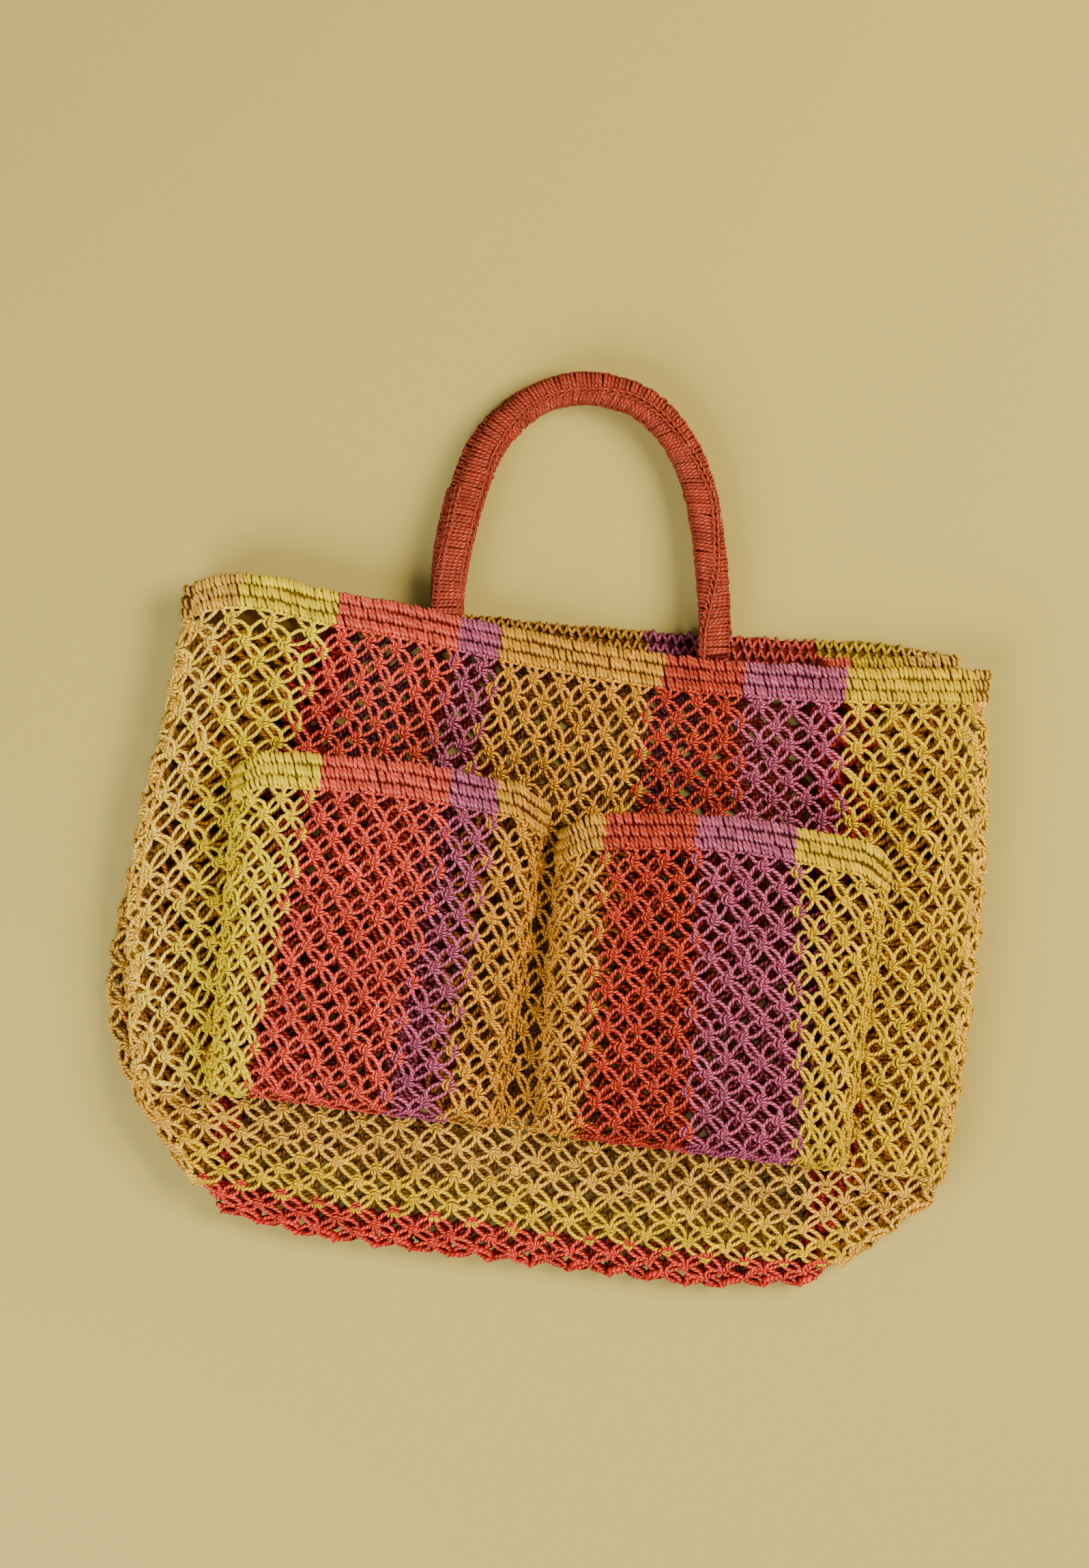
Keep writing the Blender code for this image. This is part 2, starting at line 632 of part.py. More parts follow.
def make_handle(name, points, mouth, underside):
    """A wrapped tube along points. underside(share) is the height of its lowest side."""
    xs, ys = along(points, HANDLE_STEPS + 1)
    dx, dy = np.gradient(xs), np.gradient(ys)
    steepest = math.cos(math.pi / HANDLE_SIDES)
    mesh = bmesh.new()
    rings = []
    for k in range(HANDLE_STEPS + 1):
        share = k / HANDLE_STEPS
        thick = handle_profile("thick", share)
        length = math.hypot(dx[k], dy[k])
        across = (-dy[k] / length, dx[k] / length)
        ring = []
        for n in range(HANDLE_SIDES):
            angle = 2 * math.pi * (n + 0.5) / HANDLE_SIDES
            c, s = math.cos(angle), math.sin(angle)
            out = math.copysign(abs(c) ** HANDLE_SQUARENESS, c) * HANDLE_WIDTH / 2
            up = math.copysign((abs(s) / steepest) ** HANDLE_SQUARENESS, s)
            x = xs[k] + across[0] * out
            y = ys[k] + across[1] * out
            if k in (0, HANDLE_STEPS):
                y = curve_through(mouth, x) + GAP
            z = underside(share) + thick * (1 + up) / 2
            ring.append(mesh.verts.new((x * METRES, y * METRES, z * METRES)))
        rings.append(ring)
    for near, far in zip(rings, rings[1:]):
        for n in range(HANDLE_SIDES):
            m = (n + 1) % HANDLE_SIDES
            mesh.faces.new([near[n], near[m], far[m], far[n]])
    mesh.faces.new(rings[0])
    mesh.faces.new(rings[-1])
    add_object(name, mesh)


def make_handles():
    """The front handle rises from the front's mouth; the back one lies flat on the surface."""
    make_handle("handle_front", FRONT_HANDLE, MOUTH_FRONT, lambda share: handle_profile("underside", share))
    make_handle("handle_back", BACK_HANDLE, MOUTH_BACK, lambda share: 0.0)


def main():
    clear_scene()
    make_front_net()
    make_back_net()
    make_side_and_base_net()
    make_mouth_band()
    for pocket in POCKETS:
        make_pocket_net(pocket)
        make_pocket_band(pocket)
    make_handles()


main()
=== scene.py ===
"""The knotted jute tote bag, dressed: knotted nets, wrapped bands and handles, in striped jute.

Layout is in the bag's own millimetres: +X along the mouth, +Y towards the handles, +Z up from the surface.
A net's place is read at (h, r): half columns of knots across it, and rows of knots down it.
"""

import math

import bpy
import numpy as np
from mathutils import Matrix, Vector


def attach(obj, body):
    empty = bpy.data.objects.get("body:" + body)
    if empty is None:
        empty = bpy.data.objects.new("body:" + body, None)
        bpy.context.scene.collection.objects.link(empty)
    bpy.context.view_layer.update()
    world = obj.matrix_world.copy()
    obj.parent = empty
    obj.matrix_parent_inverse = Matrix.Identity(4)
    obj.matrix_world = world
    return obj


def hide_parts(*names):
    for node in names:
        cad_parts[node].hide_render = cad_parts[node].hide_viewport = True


METRES = 0.001
ORIGIN = np.array([-2.2, -82.1, 0.0])  # the frame's origin in the bag's own layout
SEED = 11

# ---- The bag's shape, as in the solids

BAND_HEIGHT = 15.5
BAND_THICK = 5.0
NET_THICK = 3.0
SEAM_Y = -221.0  # the front's seam with the base
FRONT_Z = 21.0  # the middle of the front net's thickness
BACK_Z = 1.5
MOUTH_SAG = 4.0  # how much lower the front lies at the middle of its mouth
SAG_REACH = 0.2  # the share of the front's depth that sags
SAG_ENDS = (60.0, 110.0)  # how far from its middle the sag starts to fade, and where it is gone
EDGE_BEND = 0.8  # how round the front net's edge is: one would be a quarter circle
FOLD_SPACING = 3.2  # half the space between a side's two folded layers
TURN = 3.2  # how far the round of a folded edge reaches along X
HEM = 1.6  # how far the side's net reaches past the round, on to the front and the back
INSET = TURN + HEM
TUCK_END = 48.0  # how far below the seam the tucked corners reach
EDGE_IN = 0.8  # how far the front net's last column stays inside the folded edge

# The sides' outlines at distances below the mouth.
SIDE_COLUMNS = (
    "below", "front_left", "front_right", "rear_left", "rear_right", "crease_left", "crease_right",
)
SIDES = [
    (0, -180.5, 179.5, -175, 166, -106, 104),
    (30, -182, 184.5, -180, 176, -108, 108),
    (60, -184.5, 187.5, -184, 183, -112, 112),
    (90, -188, 189, -188, 187, -116, 116),
    (120, -189, 190, -191, 188.5, -119, 119),
    (150, -188, 190, -194, 189, -122, 122),
    (180, -184, 189.5, -194.5, 188, -125, 126),
    (205, -179.5, 188, -188.5, 186, -127, 129),
    (221, -176, 186.5, -181, 183.5, -128, 130),
]
# The base's outline at distances past the seam, down to its fold.
BASE_COLUMNS = ("past_seam", "left", "right", "top_z", "bottom_z")
BASE = [
    (0, -176, 186.5, 21, 1.5),
    (12, -171, 182, 20.8, 1.5),
    (24, -163, 170.5, 20.3, 1.5),
    (38, -152.5, 157, 19.3, 1.5),
    (48, -145, 148, 17.8, 1.5),
    (53, -141.5, 143.5, 15.9, 2.4),
    (56.5, -138.5, 141, 13.4, 4.4),
    (58.8, -136, 139, 11, 6.8),
    (59.5, -134.5, 138, 8.9, 8.9),
]
BASE_EDGE_LIFT = 0.12  # how much nearer the base's fold is at its ends, as a share
BASE_LIFTING = (80.0, 145.0)  # from where on, to either side, and where all of it is reached
# The mouth's line across the front and the back, and at the sides' creases.
MOUTH_FRONT = [
    (-180, 2.0), (-172, 6.2), (-112, 7.3), (-56, 3.5), (-37, 1.6),
    (0, -0.9), (36, -2.0), (73, -1.0), (118, 2.1), (181, 9.0),
]
MOUTH_BACK = [
    (-176, 1.0), (-120, 3.5), (-50, 5.0), (0, 6.5), (28, 7.8), (103, 12.8), (133, 15.3), (167, 13.7),
]
MOUTH_CREASE = {"left": -1.0, "right": 1.5}
CREASE_STEP = 3.0
CREASE_SHARES = [0.04, 0.47, 0.53, 0.96]  # where the line bends, across a folded side

POCKET_COLUMNS = ("name", "left", "right", "foot_left", "foot_right", "top_left", "top_middle", "top_right")
POCKETS = [dict(zip(POCKET_COLUMNS, row)) for row in (
    ("pocket_left", -147, -9, -142, -12.5, -68, -64.5, -68),
    ("pocket_right", -0.6, 145.5, 4, 142, -78.5, -70.5, -74.5),
)]
POCKET_BOTTOM = -220.5
POCKET_RISE = 16.0  # how far a pocket's face stands off the front
POCKET_END_DROP = 7.0  # how far the top line falls at a pocket's ends
POCKET_ENDS = (-1.0, 14.0)  # between which distances from an end it falls
POCKET_COVER = 6.0  # how far inside a pocket's outline the front net is hidden
# A pocket's wall: distances in from its edge, and the share of the rise there.
WALL_STEPS = [(0.0, 0.0), (1.4, 0.36), (2.9, 0.66), (5.4, 0.89), (9.0, 1.0)]
WALL_REACH = 13.0  # a little past the wall's last step, where the face is flat
POCKET_LIFT = 1.1
CORNER_LIFT = 1.0
POCKET_BAND_LIFT = 0.4

HANDLE_WIDTH = 14.0
# The handles' middle lines, from their left ends to their right.
FRONT_HANDLE = [
    (-64.2, 4.5), (-64.4, 20), (-62.7, 40), (-59.6, 60), (-53.8, 81), (-43.3, 96.8), (-29.3, 107.9),
    (-12.5, 112.5), (4.1, 111.1), (14.9, 106.8), (24.9, 99.2), (35.8, 85.5), (43.4, 68.9), (48.3, 52.2),
    (52.3, 34.3), (55.5, 14), (57.3, -1),
]
BACK_HANDLE = [
    (-64.2, 5.0), (-66.4, 22), (-66.2, 40), (-63.2, 60), (-57.2, 82), (-45.2, 98.2), (-29.7, 108.3),
    *FRONT_HANDLE[7:15], (56.0, 18), (57.3, 10),
]
# A handle's thickness and the height of its underside, at shares of its length.
HANDLE_THICK = [(0.0, 5.0), (0.1, 9.4), (0.9, 9.4), (1.0, 5.0)]
HANDLE_UNDERSIDE = [(0.0, 14.6), (0.1, 12.4), (0.3, 9.9), (0.7, 9.9), (0.9, 12.4), (1.0, 14.6)]

# ---- Cord, colours and stripes

CORD = 2.0  # the jute cord's thickness
HALF = 7.0  # half a column of knots: each row of knots is half a column over from the one above
ROW = 8.6
ROWS_SPARE = 0.1  # a net's last part of a row, left for its seam
SEAM_DRAW = 0.15  # how much of the distance past its last row a strand keeps
PAST_SEAM = 1.02  # the share of a net's depth that its strands may reach

# Each colour, as it looks on a screen.
COLOURS = {
    # The first two are lighter copies of tan and yellow for the bag's left side: painted light, where more
    # light falls there.
    "straw": (1.0, 0.84, 0.30),
    "lemon": (1.0, 0.87, 0.0),
    "brick": (0.86, 0.24, 0.16),
    "tan": (0.92, 0.71, 0.21),
    "yellow": (0.93, 0.765, 0.0),
    "coral": (0.90, 0.30, 0.22),
    "mauve": (0.72, 0.31, 0.46),
    "mustard": (0.89, 0.63, 0.11),
    "red": (0.78, 0.21, 0.11),
    "handle": (0.56, 0.145, 0.065),
}

# Stripes across the front: each one's first half column, and its left edge at four depths.
STRIPE_DEPTHS = (0.0, 0.25, 0.6, 1.0)
FRONT_STRIPES = [
    ("straw", 0),
    ("lemon", 3, (-158, -164, -166, -154)),
    ("coral", 8, (-114, -124, -128, -128)),
    ("mauve", 17, (-57, -63, -66, -66)),
    ("mustard", 20, (-38, -44, -46, -46)),
    ("red", 32, (31.5, 31, 30, 30)),
    ("mauve", 38, (72.5, 75, 78, 78)),
    ("yellow", 44, (117, 121, 124, 124)),
    ("yellow", 50, (159.5, 165.5, 169, 169)),
]
FRONT_HALVES = 54
FRONT_FIRSTS = [row[1] for row in FRONT_STRIPES] + [FRONT_HALVES]
# The back has the same stripes, turned round. Their edges at its mouth, from its right end.
BACK_EDGES = (145, 103, 51, 27, -35, -75, -117, -153)
# Millimetres from one row to the next, at X along the mouth: the knots aren't tied quite evenly.
FRONT_ROW = [
    (-190, 9.3), (-165, 9.3), (-148, 9.2), (-112, 8.4), (-70, 8.8), (-30, 9.1),
    (10, 9.1), (50, 8.2), (90, 8.1), (125, 8.3), (150, 8.7), (190, 8.7),
]
# The strip that makes the sides and the base.
STRIP_HALVES, SIDE_ROWS, BASE_ROW = 20, 30, 8.7
SEAM_LAP = 4.0  # how far the base's first knots reach up over the front net's last
BASE_SINK = 6.0  # how much lower the columns lie at the base's right end
BASE_SINKING = (20.0, 140.0)  # from where on, along X, and where all of it is reached
BASE_FOLD = 64.0  # the fold's place in the strip, past its front seam
BASE_REACH = {"left": 176.0, "right": 184.0}  # how far the base's columns run from its middle
BASE_FADE = 7.5  # a knot of the base is left out where its end pushes it further than this
BASE_UPPER = 10.0  # the half columns of the base that face up
SIDE_EDGE = 3.0  # the half columns of a side's net that bend round a folded edge
BASE_SLANT = 0.07  # how far the base's columns lean along X, for each millimetre from the front seam
STRIP_STRIPES = [("tan", 0), ("yellow", 4), ("brick", 7), ("yellow", 13), ("tan", 16)]
# Where half columns of the strip lie from the base's front seam to its back seam.
BASE_PLACES = [(0, 2.5), (4, 29.5), (7, 49), (9, 61), (20, 125)]
# A pocket's rows at its left and right ends, in millimetres from one to the next.
POCKET_HALVES = 24
POCKET_ROW = {"pocket_left": (7.85, 8.75), "pocket_right": (8.75, 8.4)}
# A pocket's stripes: each one's first half column, and its left edge at the top and the bottom.
POCKET_STRIPES = {
    "pocket_left": [
        ("lemon", 0), ("coral", 7, -112, -124.5),
        ("mauve", 16, -50.5, -61.5), ("mustard", 19, -30.5, -37),
    ],
    "pocket_right": [
        ("mustard", 0), ("red", 5, 19.5, 23),
        ("mauve", 11, 59.5, 70), ("yellow", 17, 104.5, 120),
    ],
}
# The bands' colours, from the X at which each starts.
FRONT_BAND = [("tan", -190), ("lemon", -156), ("coral", -111.5), ("mauve", -56), ("mustard", -37),
              ("red", 36), ("mauve", 73), ("yellow", 118)]
POCKET_BANDS = {
    "pocket_left": [("lemon", -150), ("coral", -110), ("mauve", -51.5), ("mustard", -30)],
    "pocket_right": [("mustard", -5), ("red", 18.5), ("mauve", 58.5), ("yellow", 103.5)],
}


def linear(colour):
    """A screen colour as the linear colour that shaders take."""
    c = np.array(colour)
    return np.where(c <= 0.04045, c / 12.92, ((c + 0.055) / 1.055) ** 2.4)


def smooth(points, at):
    """A smooth curve through points (x, y), read at x."""
    xs, ys = np.array(points, float).T
    at = np.clip(at, xs[0], xs[-1])
    k = np.clip(np.searchsorted(xs, at) - 1, 0, len(xs) - 2)
    slopes = np.gradient(ys, xs)
    span = xs[k + 1] - xs[k]
    t = (at - xs[k]) / span
    return (
        ys[k] * (1 + 2 * t) * (1 - t) ** 2
        + slopes[k] * span * t * (1 - t) ** 2
        + ys[k + 1] * t * t * (3 - 2 * t)
        + slopes[k + 1] * span * t * t * (t - 1)
    )


def ease(low, high, value):
    t = np.clip((value - low) / (high - low), 0.0, 1.0)
    return t * t * (3 - 2 * t)


def always(value):
    """The same value in every half column."""
    return lambda h: np.full_like(h, value)


def level(table, at):
    """Straight lines through points (x, y), read at x."""
    return np.interp(at, *zip(*table))


def column(table, names, name):
    return [(row[0], row[names.index(name)]) for row in table]


def side(name, share):
    return smooth(column(SIDES, SIDE_COLUMNS, name), np.asarray(share) * -SEAM_Y)


def base(name, past_seam):
    return level(column(BASE, BASE_COLUMNS, name), past_seam)


def front_z(x, share):
    sag = 1.0 - ease(*SAG_ENDS, np.abs(x))
    return FRONT_Z - MOUTH_SAG * sag * (1.0 - ease(0.0, SAG_REACH, share))


def hang(top_y, share):
    start = top_y - BAND_HEIGHT
    return start + (SEAM_Y - start) * share


def fold_y(x, past_seam):
    lift = BASE_EDGE_LIFT * ease(*BASE_LIFTING, np.abs(x))
    return SEAM_Y - past_seam * (1.0 - lift)


# ---- The nets' mid-surfaces


class Net:
    """where(h, s) gives the mid-surface's points at h half columns across and s millimetres down.

    depth and row are functions of h: the net's depth and the distance from one row to the next.
    """

    def __init__(self, where, halves, depth, row, stripes):
        self.where = where
        self.halves = halves
        self.depth = depth
        self.row = row
        self.firsts = [row[1] for row in stripes][1:]
        self.palette = np.array([linear(COLOURS[row[0]]) for row in stripes])

    def rows(self, h):
        return self.depth(h) / self.row(h) - ROWS_SPARE

    def down(self, h, r):
        """The distance down to row r. Past the last row the strands draw together."""
        last = self.rows(h)
        return np.minimum(r, last + SEAM_DRAW * (r - last)).clip(0) * self.row(h)

    def place(self, h, r, w):
        """Points w above the mid-surface, and its normals there."""
        h = np.clip(h, 0.0, self.halves)
        s = self.down(h, r)
        h0, h1 = np.maximum(h - 0.1, 0), np.minimum(h + 0.1, self.halves)
        across = self.where(h1, s) - self.where(h0, s)
        up = self.where(h, np.maximum(s - 1.0, 0)) - self.where(h, s + 1.0)
        normal = unit(np.cross(across, up))
        return self.where(h, s) + normal * np.asarray(w)[..., None], normal


def unit(vectors):
    return vectors / np.maximum(np.linalg.norm(vectors, axis=-1, keepdims=True), 1e-9)


def xyz(x, y, z):
    return np.stack(np.broadcast_arrays(x, y, z), axis=-1)


def run_of(path):
    """The distance along a path of points to each of them."""
    return np.concatenate([[0], np.cumsum(np.linalg.norm(np.diff(path, axis=0), axis=1))])


def read(at, run, path):
    """Values given along a path, read at distances along it."""
    return np.stack([np.interp(at, run, path[:, k]) for k in range(path.shape[1])], axis=-1)


def grid_where(grid, halves, depth):
    """Reads a grid of points (row, column) at half columns and millimetres down."""
    grid = np.asarray(grid)
    high, wide = grid.shape[0] - 1, grid.shape[1] - 1

    def where(h, s):
        a = np.clip(h / halves, 0, 1) * wide
        b = np.clip(s / depth, 0, 1) * high
        i = np.minimum(a.astype(int), wide - 1)
        j = np.minimum(b.astype(int), high - 1)
        u, v = (a - i)[..., None], (b - j)[..., None]
        near = grid[j, i] * (1 - u) + grid[j, i + 1] * u
        far = grid[j + 1, i] * (1 - u) + grid[j + 1, i + 1] * u
        return near * (1 - v) + far * v

    return where


def even(path, count):
    """count points evenly spaced along a path of points."""
    path = np.asarray(path, float)
    run = run_of(path)
    return read(np.linspace(0, run[-1], count), run, path)


def between(h, firsts, edges):
    """Reads edges, a list of arrays given at the half columns firsts, at h."""
    firsts = np.array(firsts, float)
    lines = np.stack(np.broadcast_arrays(*edges))
    k = np.clip(np.searchsorted(firsts, h, side="right") - 1, 0, len(firsts) - 2)
    near = np.take_along_axis(lines, k[None], axis=0)[0]
    far = np.take_along_axis(lines, k[None] + 1, axis=0)[0]
    return near + (far - near) * (h - firsts[k]) / (firsts[k + 1] - firsts[k])


def front_net():
    def column_edges(share):
        edges = [side("front_left", share) + EDGE_IN]
        edges += [smooth(list(zip(STRIPE_DEPTHS, row[2])), share) for row in FRONT_STRIPES[1:]]
        return edges + [side("front_right", share) - EDGE_IN]

    def mouth(h):
        x = between(h, FRONT_FIRSTS, column_edges(np.zeros_like(h)))
        return x, smooth(MOUTH_FRONT, x) - BAND_HEIGHT - SEAM_Y

    def where(h, s):
        share = np.clip(s / mouth(h)[1], 0, PAST_SEAM)
        edges = column_edges(share)
        x = between(h, FRONT_FIRSTS, edges)
        near = np.clip(1 - np.minimum(x - edges[0], edges[-1] - x) / TURN, 0, 1)
        z = front_z(x, share) - TURN * (1 - np.sqrt(1 - EDGE_BEND * near**2))
        return xyz(x, hang(smooth(MOUTH_FRONT, x), share), z)

    def row(h):
        return smooth(FRONT_ROW, mouth(h)[0])

    return Net(where, FRONT_HALVES, lambda h: mouth(h)[1], row, FRONT_STRIPES)


def back_net():
    """The back's outer face lies on the surface, so it is read from right to left."""
    mouth_right = side("rear_right", 0.0) - INSET
    mouth_left = side("rear_left", 0.0) + INSET
    edges = (mouth_right, *BACK_EDGES, mouth_left)

    def mouth(h):
        x = between(h, FRONT_FIRSTS, [np.full_like(h, edge) for edge in edges])
        return x, smooth(MOUTH_BACK, x) - BAND_HEIGHT - SEAM_Y

    def where(h, s):
        at_mouth, depth = mouth(h)
        share = np.clip(s / depth, 0, PAST_SEAM)
        left = side("rear_left", share) + INSET
        right = side("rear_right", share) - INSET
        x = left + (at_mouth - mouth_left) / (mouth_right - mouth_left) * (right - left)
        return xyz(x, hang(smooth(MOUTH_BACK, x), share), BACK_Z)

    return Net(where, FRONT_HALVES, lambda h: mouth(h)[1], always(ROW), FRONT_STRIPES)


def half_turn(x, z_start, z_end, towards):
    angles = np.linspace(math.pi / 2, -math.pi / 2, 9)
    middle, radius = (z_start + z_end) / 2, (z_start - z_end) / 2
    return [(x - towards * TURN * (1 - math.cos(a)), middle + radius * math.sin(a)) for a in angles]


def side_layers(front_x, rear_x, crease_x, z_top, z_bottom):
    """A side's cross-section (x, z) from the front's edge to the back's: in to the crease and out again."""
    towards = 1 if front_x > 0 else -1
    middle = (z_top + z_bottom) / 2
    outer = half_turn(front_x, z_top, middle + FOLD_SPACING, towards)
    crease = half_turn(crease_x, middle + FOLD_SPACING, middle - FOLD_SPACING, -towards)
    rear = half_turn(rear_x, middle - FOLD_SPACING, z_bottom, towards)
    outer.insert(0, (outer[0][0] - towards * HEM, z_top))
    rear.append((rear[-1][0] - towards * HEM, z_bottom))
    return np.array(outer + crease + rear)


def side_edges(which, share):
    return [side(edge + which, share) for edge in ("front_", "rear_", "crease_")]


def side_mouth(which, share_across):
    """The mouth line across a folded side, from the front's edge to the back's."""
    edge, rear, _ = side_edges(which, 0.0)
    crease = MOUTH_CREASE[which]
    ys = [smooth(MOUTH_FRONT, edge), crease, crease + CREASE_STEP, smooth(MOUTH_BACK, rear)]
    return np.interp(share_across, CREASE_SHARES, ys)


def side_net(which):
    """A folded side and its tucked corner of the base, knotted from the base up to the mouth."""
    across = np.linspace(0, 1, 61)
    grid = []
    for share in np.linspace(0, 1, 34):
        layers = even(side_layers(*side_edges(which, share), FRONT_Z, BACK_Z), len(across))
        y = hang(side_mouth(which, across), share)
        grid.append(xyz(layers[:, 0], y, layers[:, 1]))
    front, rear, crease = side_edges(which, 1.0)
    for past in np.linspace(0, TUCK_END, 9)[1:]:
        edge = base(which, past)
        behind = edge + (rear - front) * (1 - past / TUCK_END)
        layers = side_layers(edge, behind, crease, base("top_z", past), base("bottom_z", past))
        layers = even(layers, len(across))
        grid.append(xyz(layers[:, 0], fold_y(layers[:, 0], past), layers[:, 1]))
    grid = np.array(grid)[::-1]
    if which == "right":
        grid = grid[:, ::-1]
    depth = SIDE_ROWS * ROW
    where = grid_where(grid, STRIP_HALVES, depth)
    return Net(where, STRIP_HALVES, always(depth), always(ROW), STRIP_STRIPES)


def base_net(which):
    """Half of the folded base, from its middle out. The right half is read from the back's seam."""
    past = [row[0] for row in BASE]
    path = [(t, base("top_z", t)) for t in np.linspace(-SEAM_LAP, past[-1], 60)]
    path += [(t, base("bottom_z", t)) for t in np.linspace(past[-1], 0, 60)[1:]]
    path = np.array(path)
    run = run_of(path)
    way = {"left": -1, "right": 1}[which]
    start = {"left": 0.0, "right": -BASE_ROW}[which]  # the right half's first row is the left half's
    reach = BASE_REACH[which] - start

    def where(h, s):
        s = s + start
        across = h if which == "left" else STRIP_HALVES - h
        at = level(BASE_PLACES, across)
        at = at + BASE_SINK * ease(*BASE_SINKING, way * s) * np.sin(math.pi * np.clip(at / BASE_FOLD, 0, 1))
        t, z = np.moveaxis(read(at, run, path), -1, 0)
        x = way * s + BASE_SLANT * t
        x = np.clip(x, base("left", t) + INSET, base("right", t) - INSET)
        return xyz(x, fold_y(x, t), z)

    net = Net(where, STRIP_HALVES, always(reach), always(BASE_ROW), STRIP_STRIPES)
    net.straight = lambda r: way * (r * BASE_ROW + start)
    return net


def pocket_top(size, x):
    middle = (size["left"] + size["right"]) / 2
    across = (size["left"], middle, size["right"])
    tops = (size["top_left"], size["top_middle"], size["top_right"])
    near = np.minimum(x - size["left"], size["right"] - x)
    return smooth(list(zip(across, tops)), x) - POCKET_END_DROP * (1 - ease(*POCKET_ENDS, near))


def pocket_sides(size, share_down):
    return [size[name] + (size["foot_" + name] - size[name]) * share_down for name in ("left", "right")]


def pocket_points(size, x, y, share_down, bottom_distance):
    left, right = pocket_sides(size, share_down)
    beside = level(WALL_STEPS, np.minimum(x - left, right - x))
    below = level(WALL_STEPS, bottom_distance)
    rise = POCKET_RISE * beside * below + CORNER_LIFT * (1 - beside) * (1 - below)
    share = 1 - (y - SEAM_Y) / -SEAM_Y
    return xyz(x, y, front_z(x, share) + NET_THICK / 2 + POCKET_LIFT + rise)


def pocket_across(size, share_down, stripes=None):
    """X of points over the walls and the face, a quarter of a half column apart."""
    left, right = pocket_sides(size, share_down)
    path = [(left + d, POCKET_RISE * s) for d, s in WALL_STEPS]
    path += [(right - d, POCKET_RISE * s) for d, s in reversed(WALL_STEPS)]
    path = np.array(path)
    run = run_of(path)
    h = np.linspace(0, POCKET_HALVES, 4 * POCKET_HALVES + 1)
    at = run[-1] * h / POCKET_HALVES
    if stripes:
        edges = [row[2] + (row[3] - row[2]) * share_down for row in stripes[1:]]
        places = [0, *np.interp(edges, path[:, 0], run), run[-1]]
        at = np.interp(h, [row[1] for row in stripes] + [POCKET_HALVES], places)
    return np.interp(at, run, path[:, 0])


def pocket_net(size):
    stripes = POCKET_STRIPES[size["name"]]
    grid = []
    middle = pocket_top(size, (size["left"] + size["right"]) / 2) - BAND_HEIGHT
    wall = even([(d, POCKET_RISE * s) for d, s in [(WALL_REACH, 1.0)] + WALL_STEPS[::-1]], 8)
    foot = POCKET_BOTTOM + WALL_REACH
    face = middle - foot
    depth = face + run_of(wall)[-1]
    steps = int(round(7 * face / (depth - face)))
    for share in np.linspace(0, 1, steps + 1):
        x = pocket_across(size, share, stripes)
        top = pocket_top(size, x) - BAND_HEIGHT
        grid.append(pocket_points(size, x, top + (foot - top) * share, share, WALL_REACH))
    x = pocket_across(size, 1.0, stripes)
    for distance in wall[1:, 0]:
        grid.append(pocket_points(size, x, np.full_like(x, POCKET_BOTTOM + distance), 1.0, distance))

    def row(h):
        return np.interp(h, [0, POCKET_HALVES], POCKET_ROW[size["name"]])

    where = grid_where(grid, POCKET_HALVES, depth)
    return Net(where, POCKET_HALVES, always(depth), row, stripes)


# ---- Strands


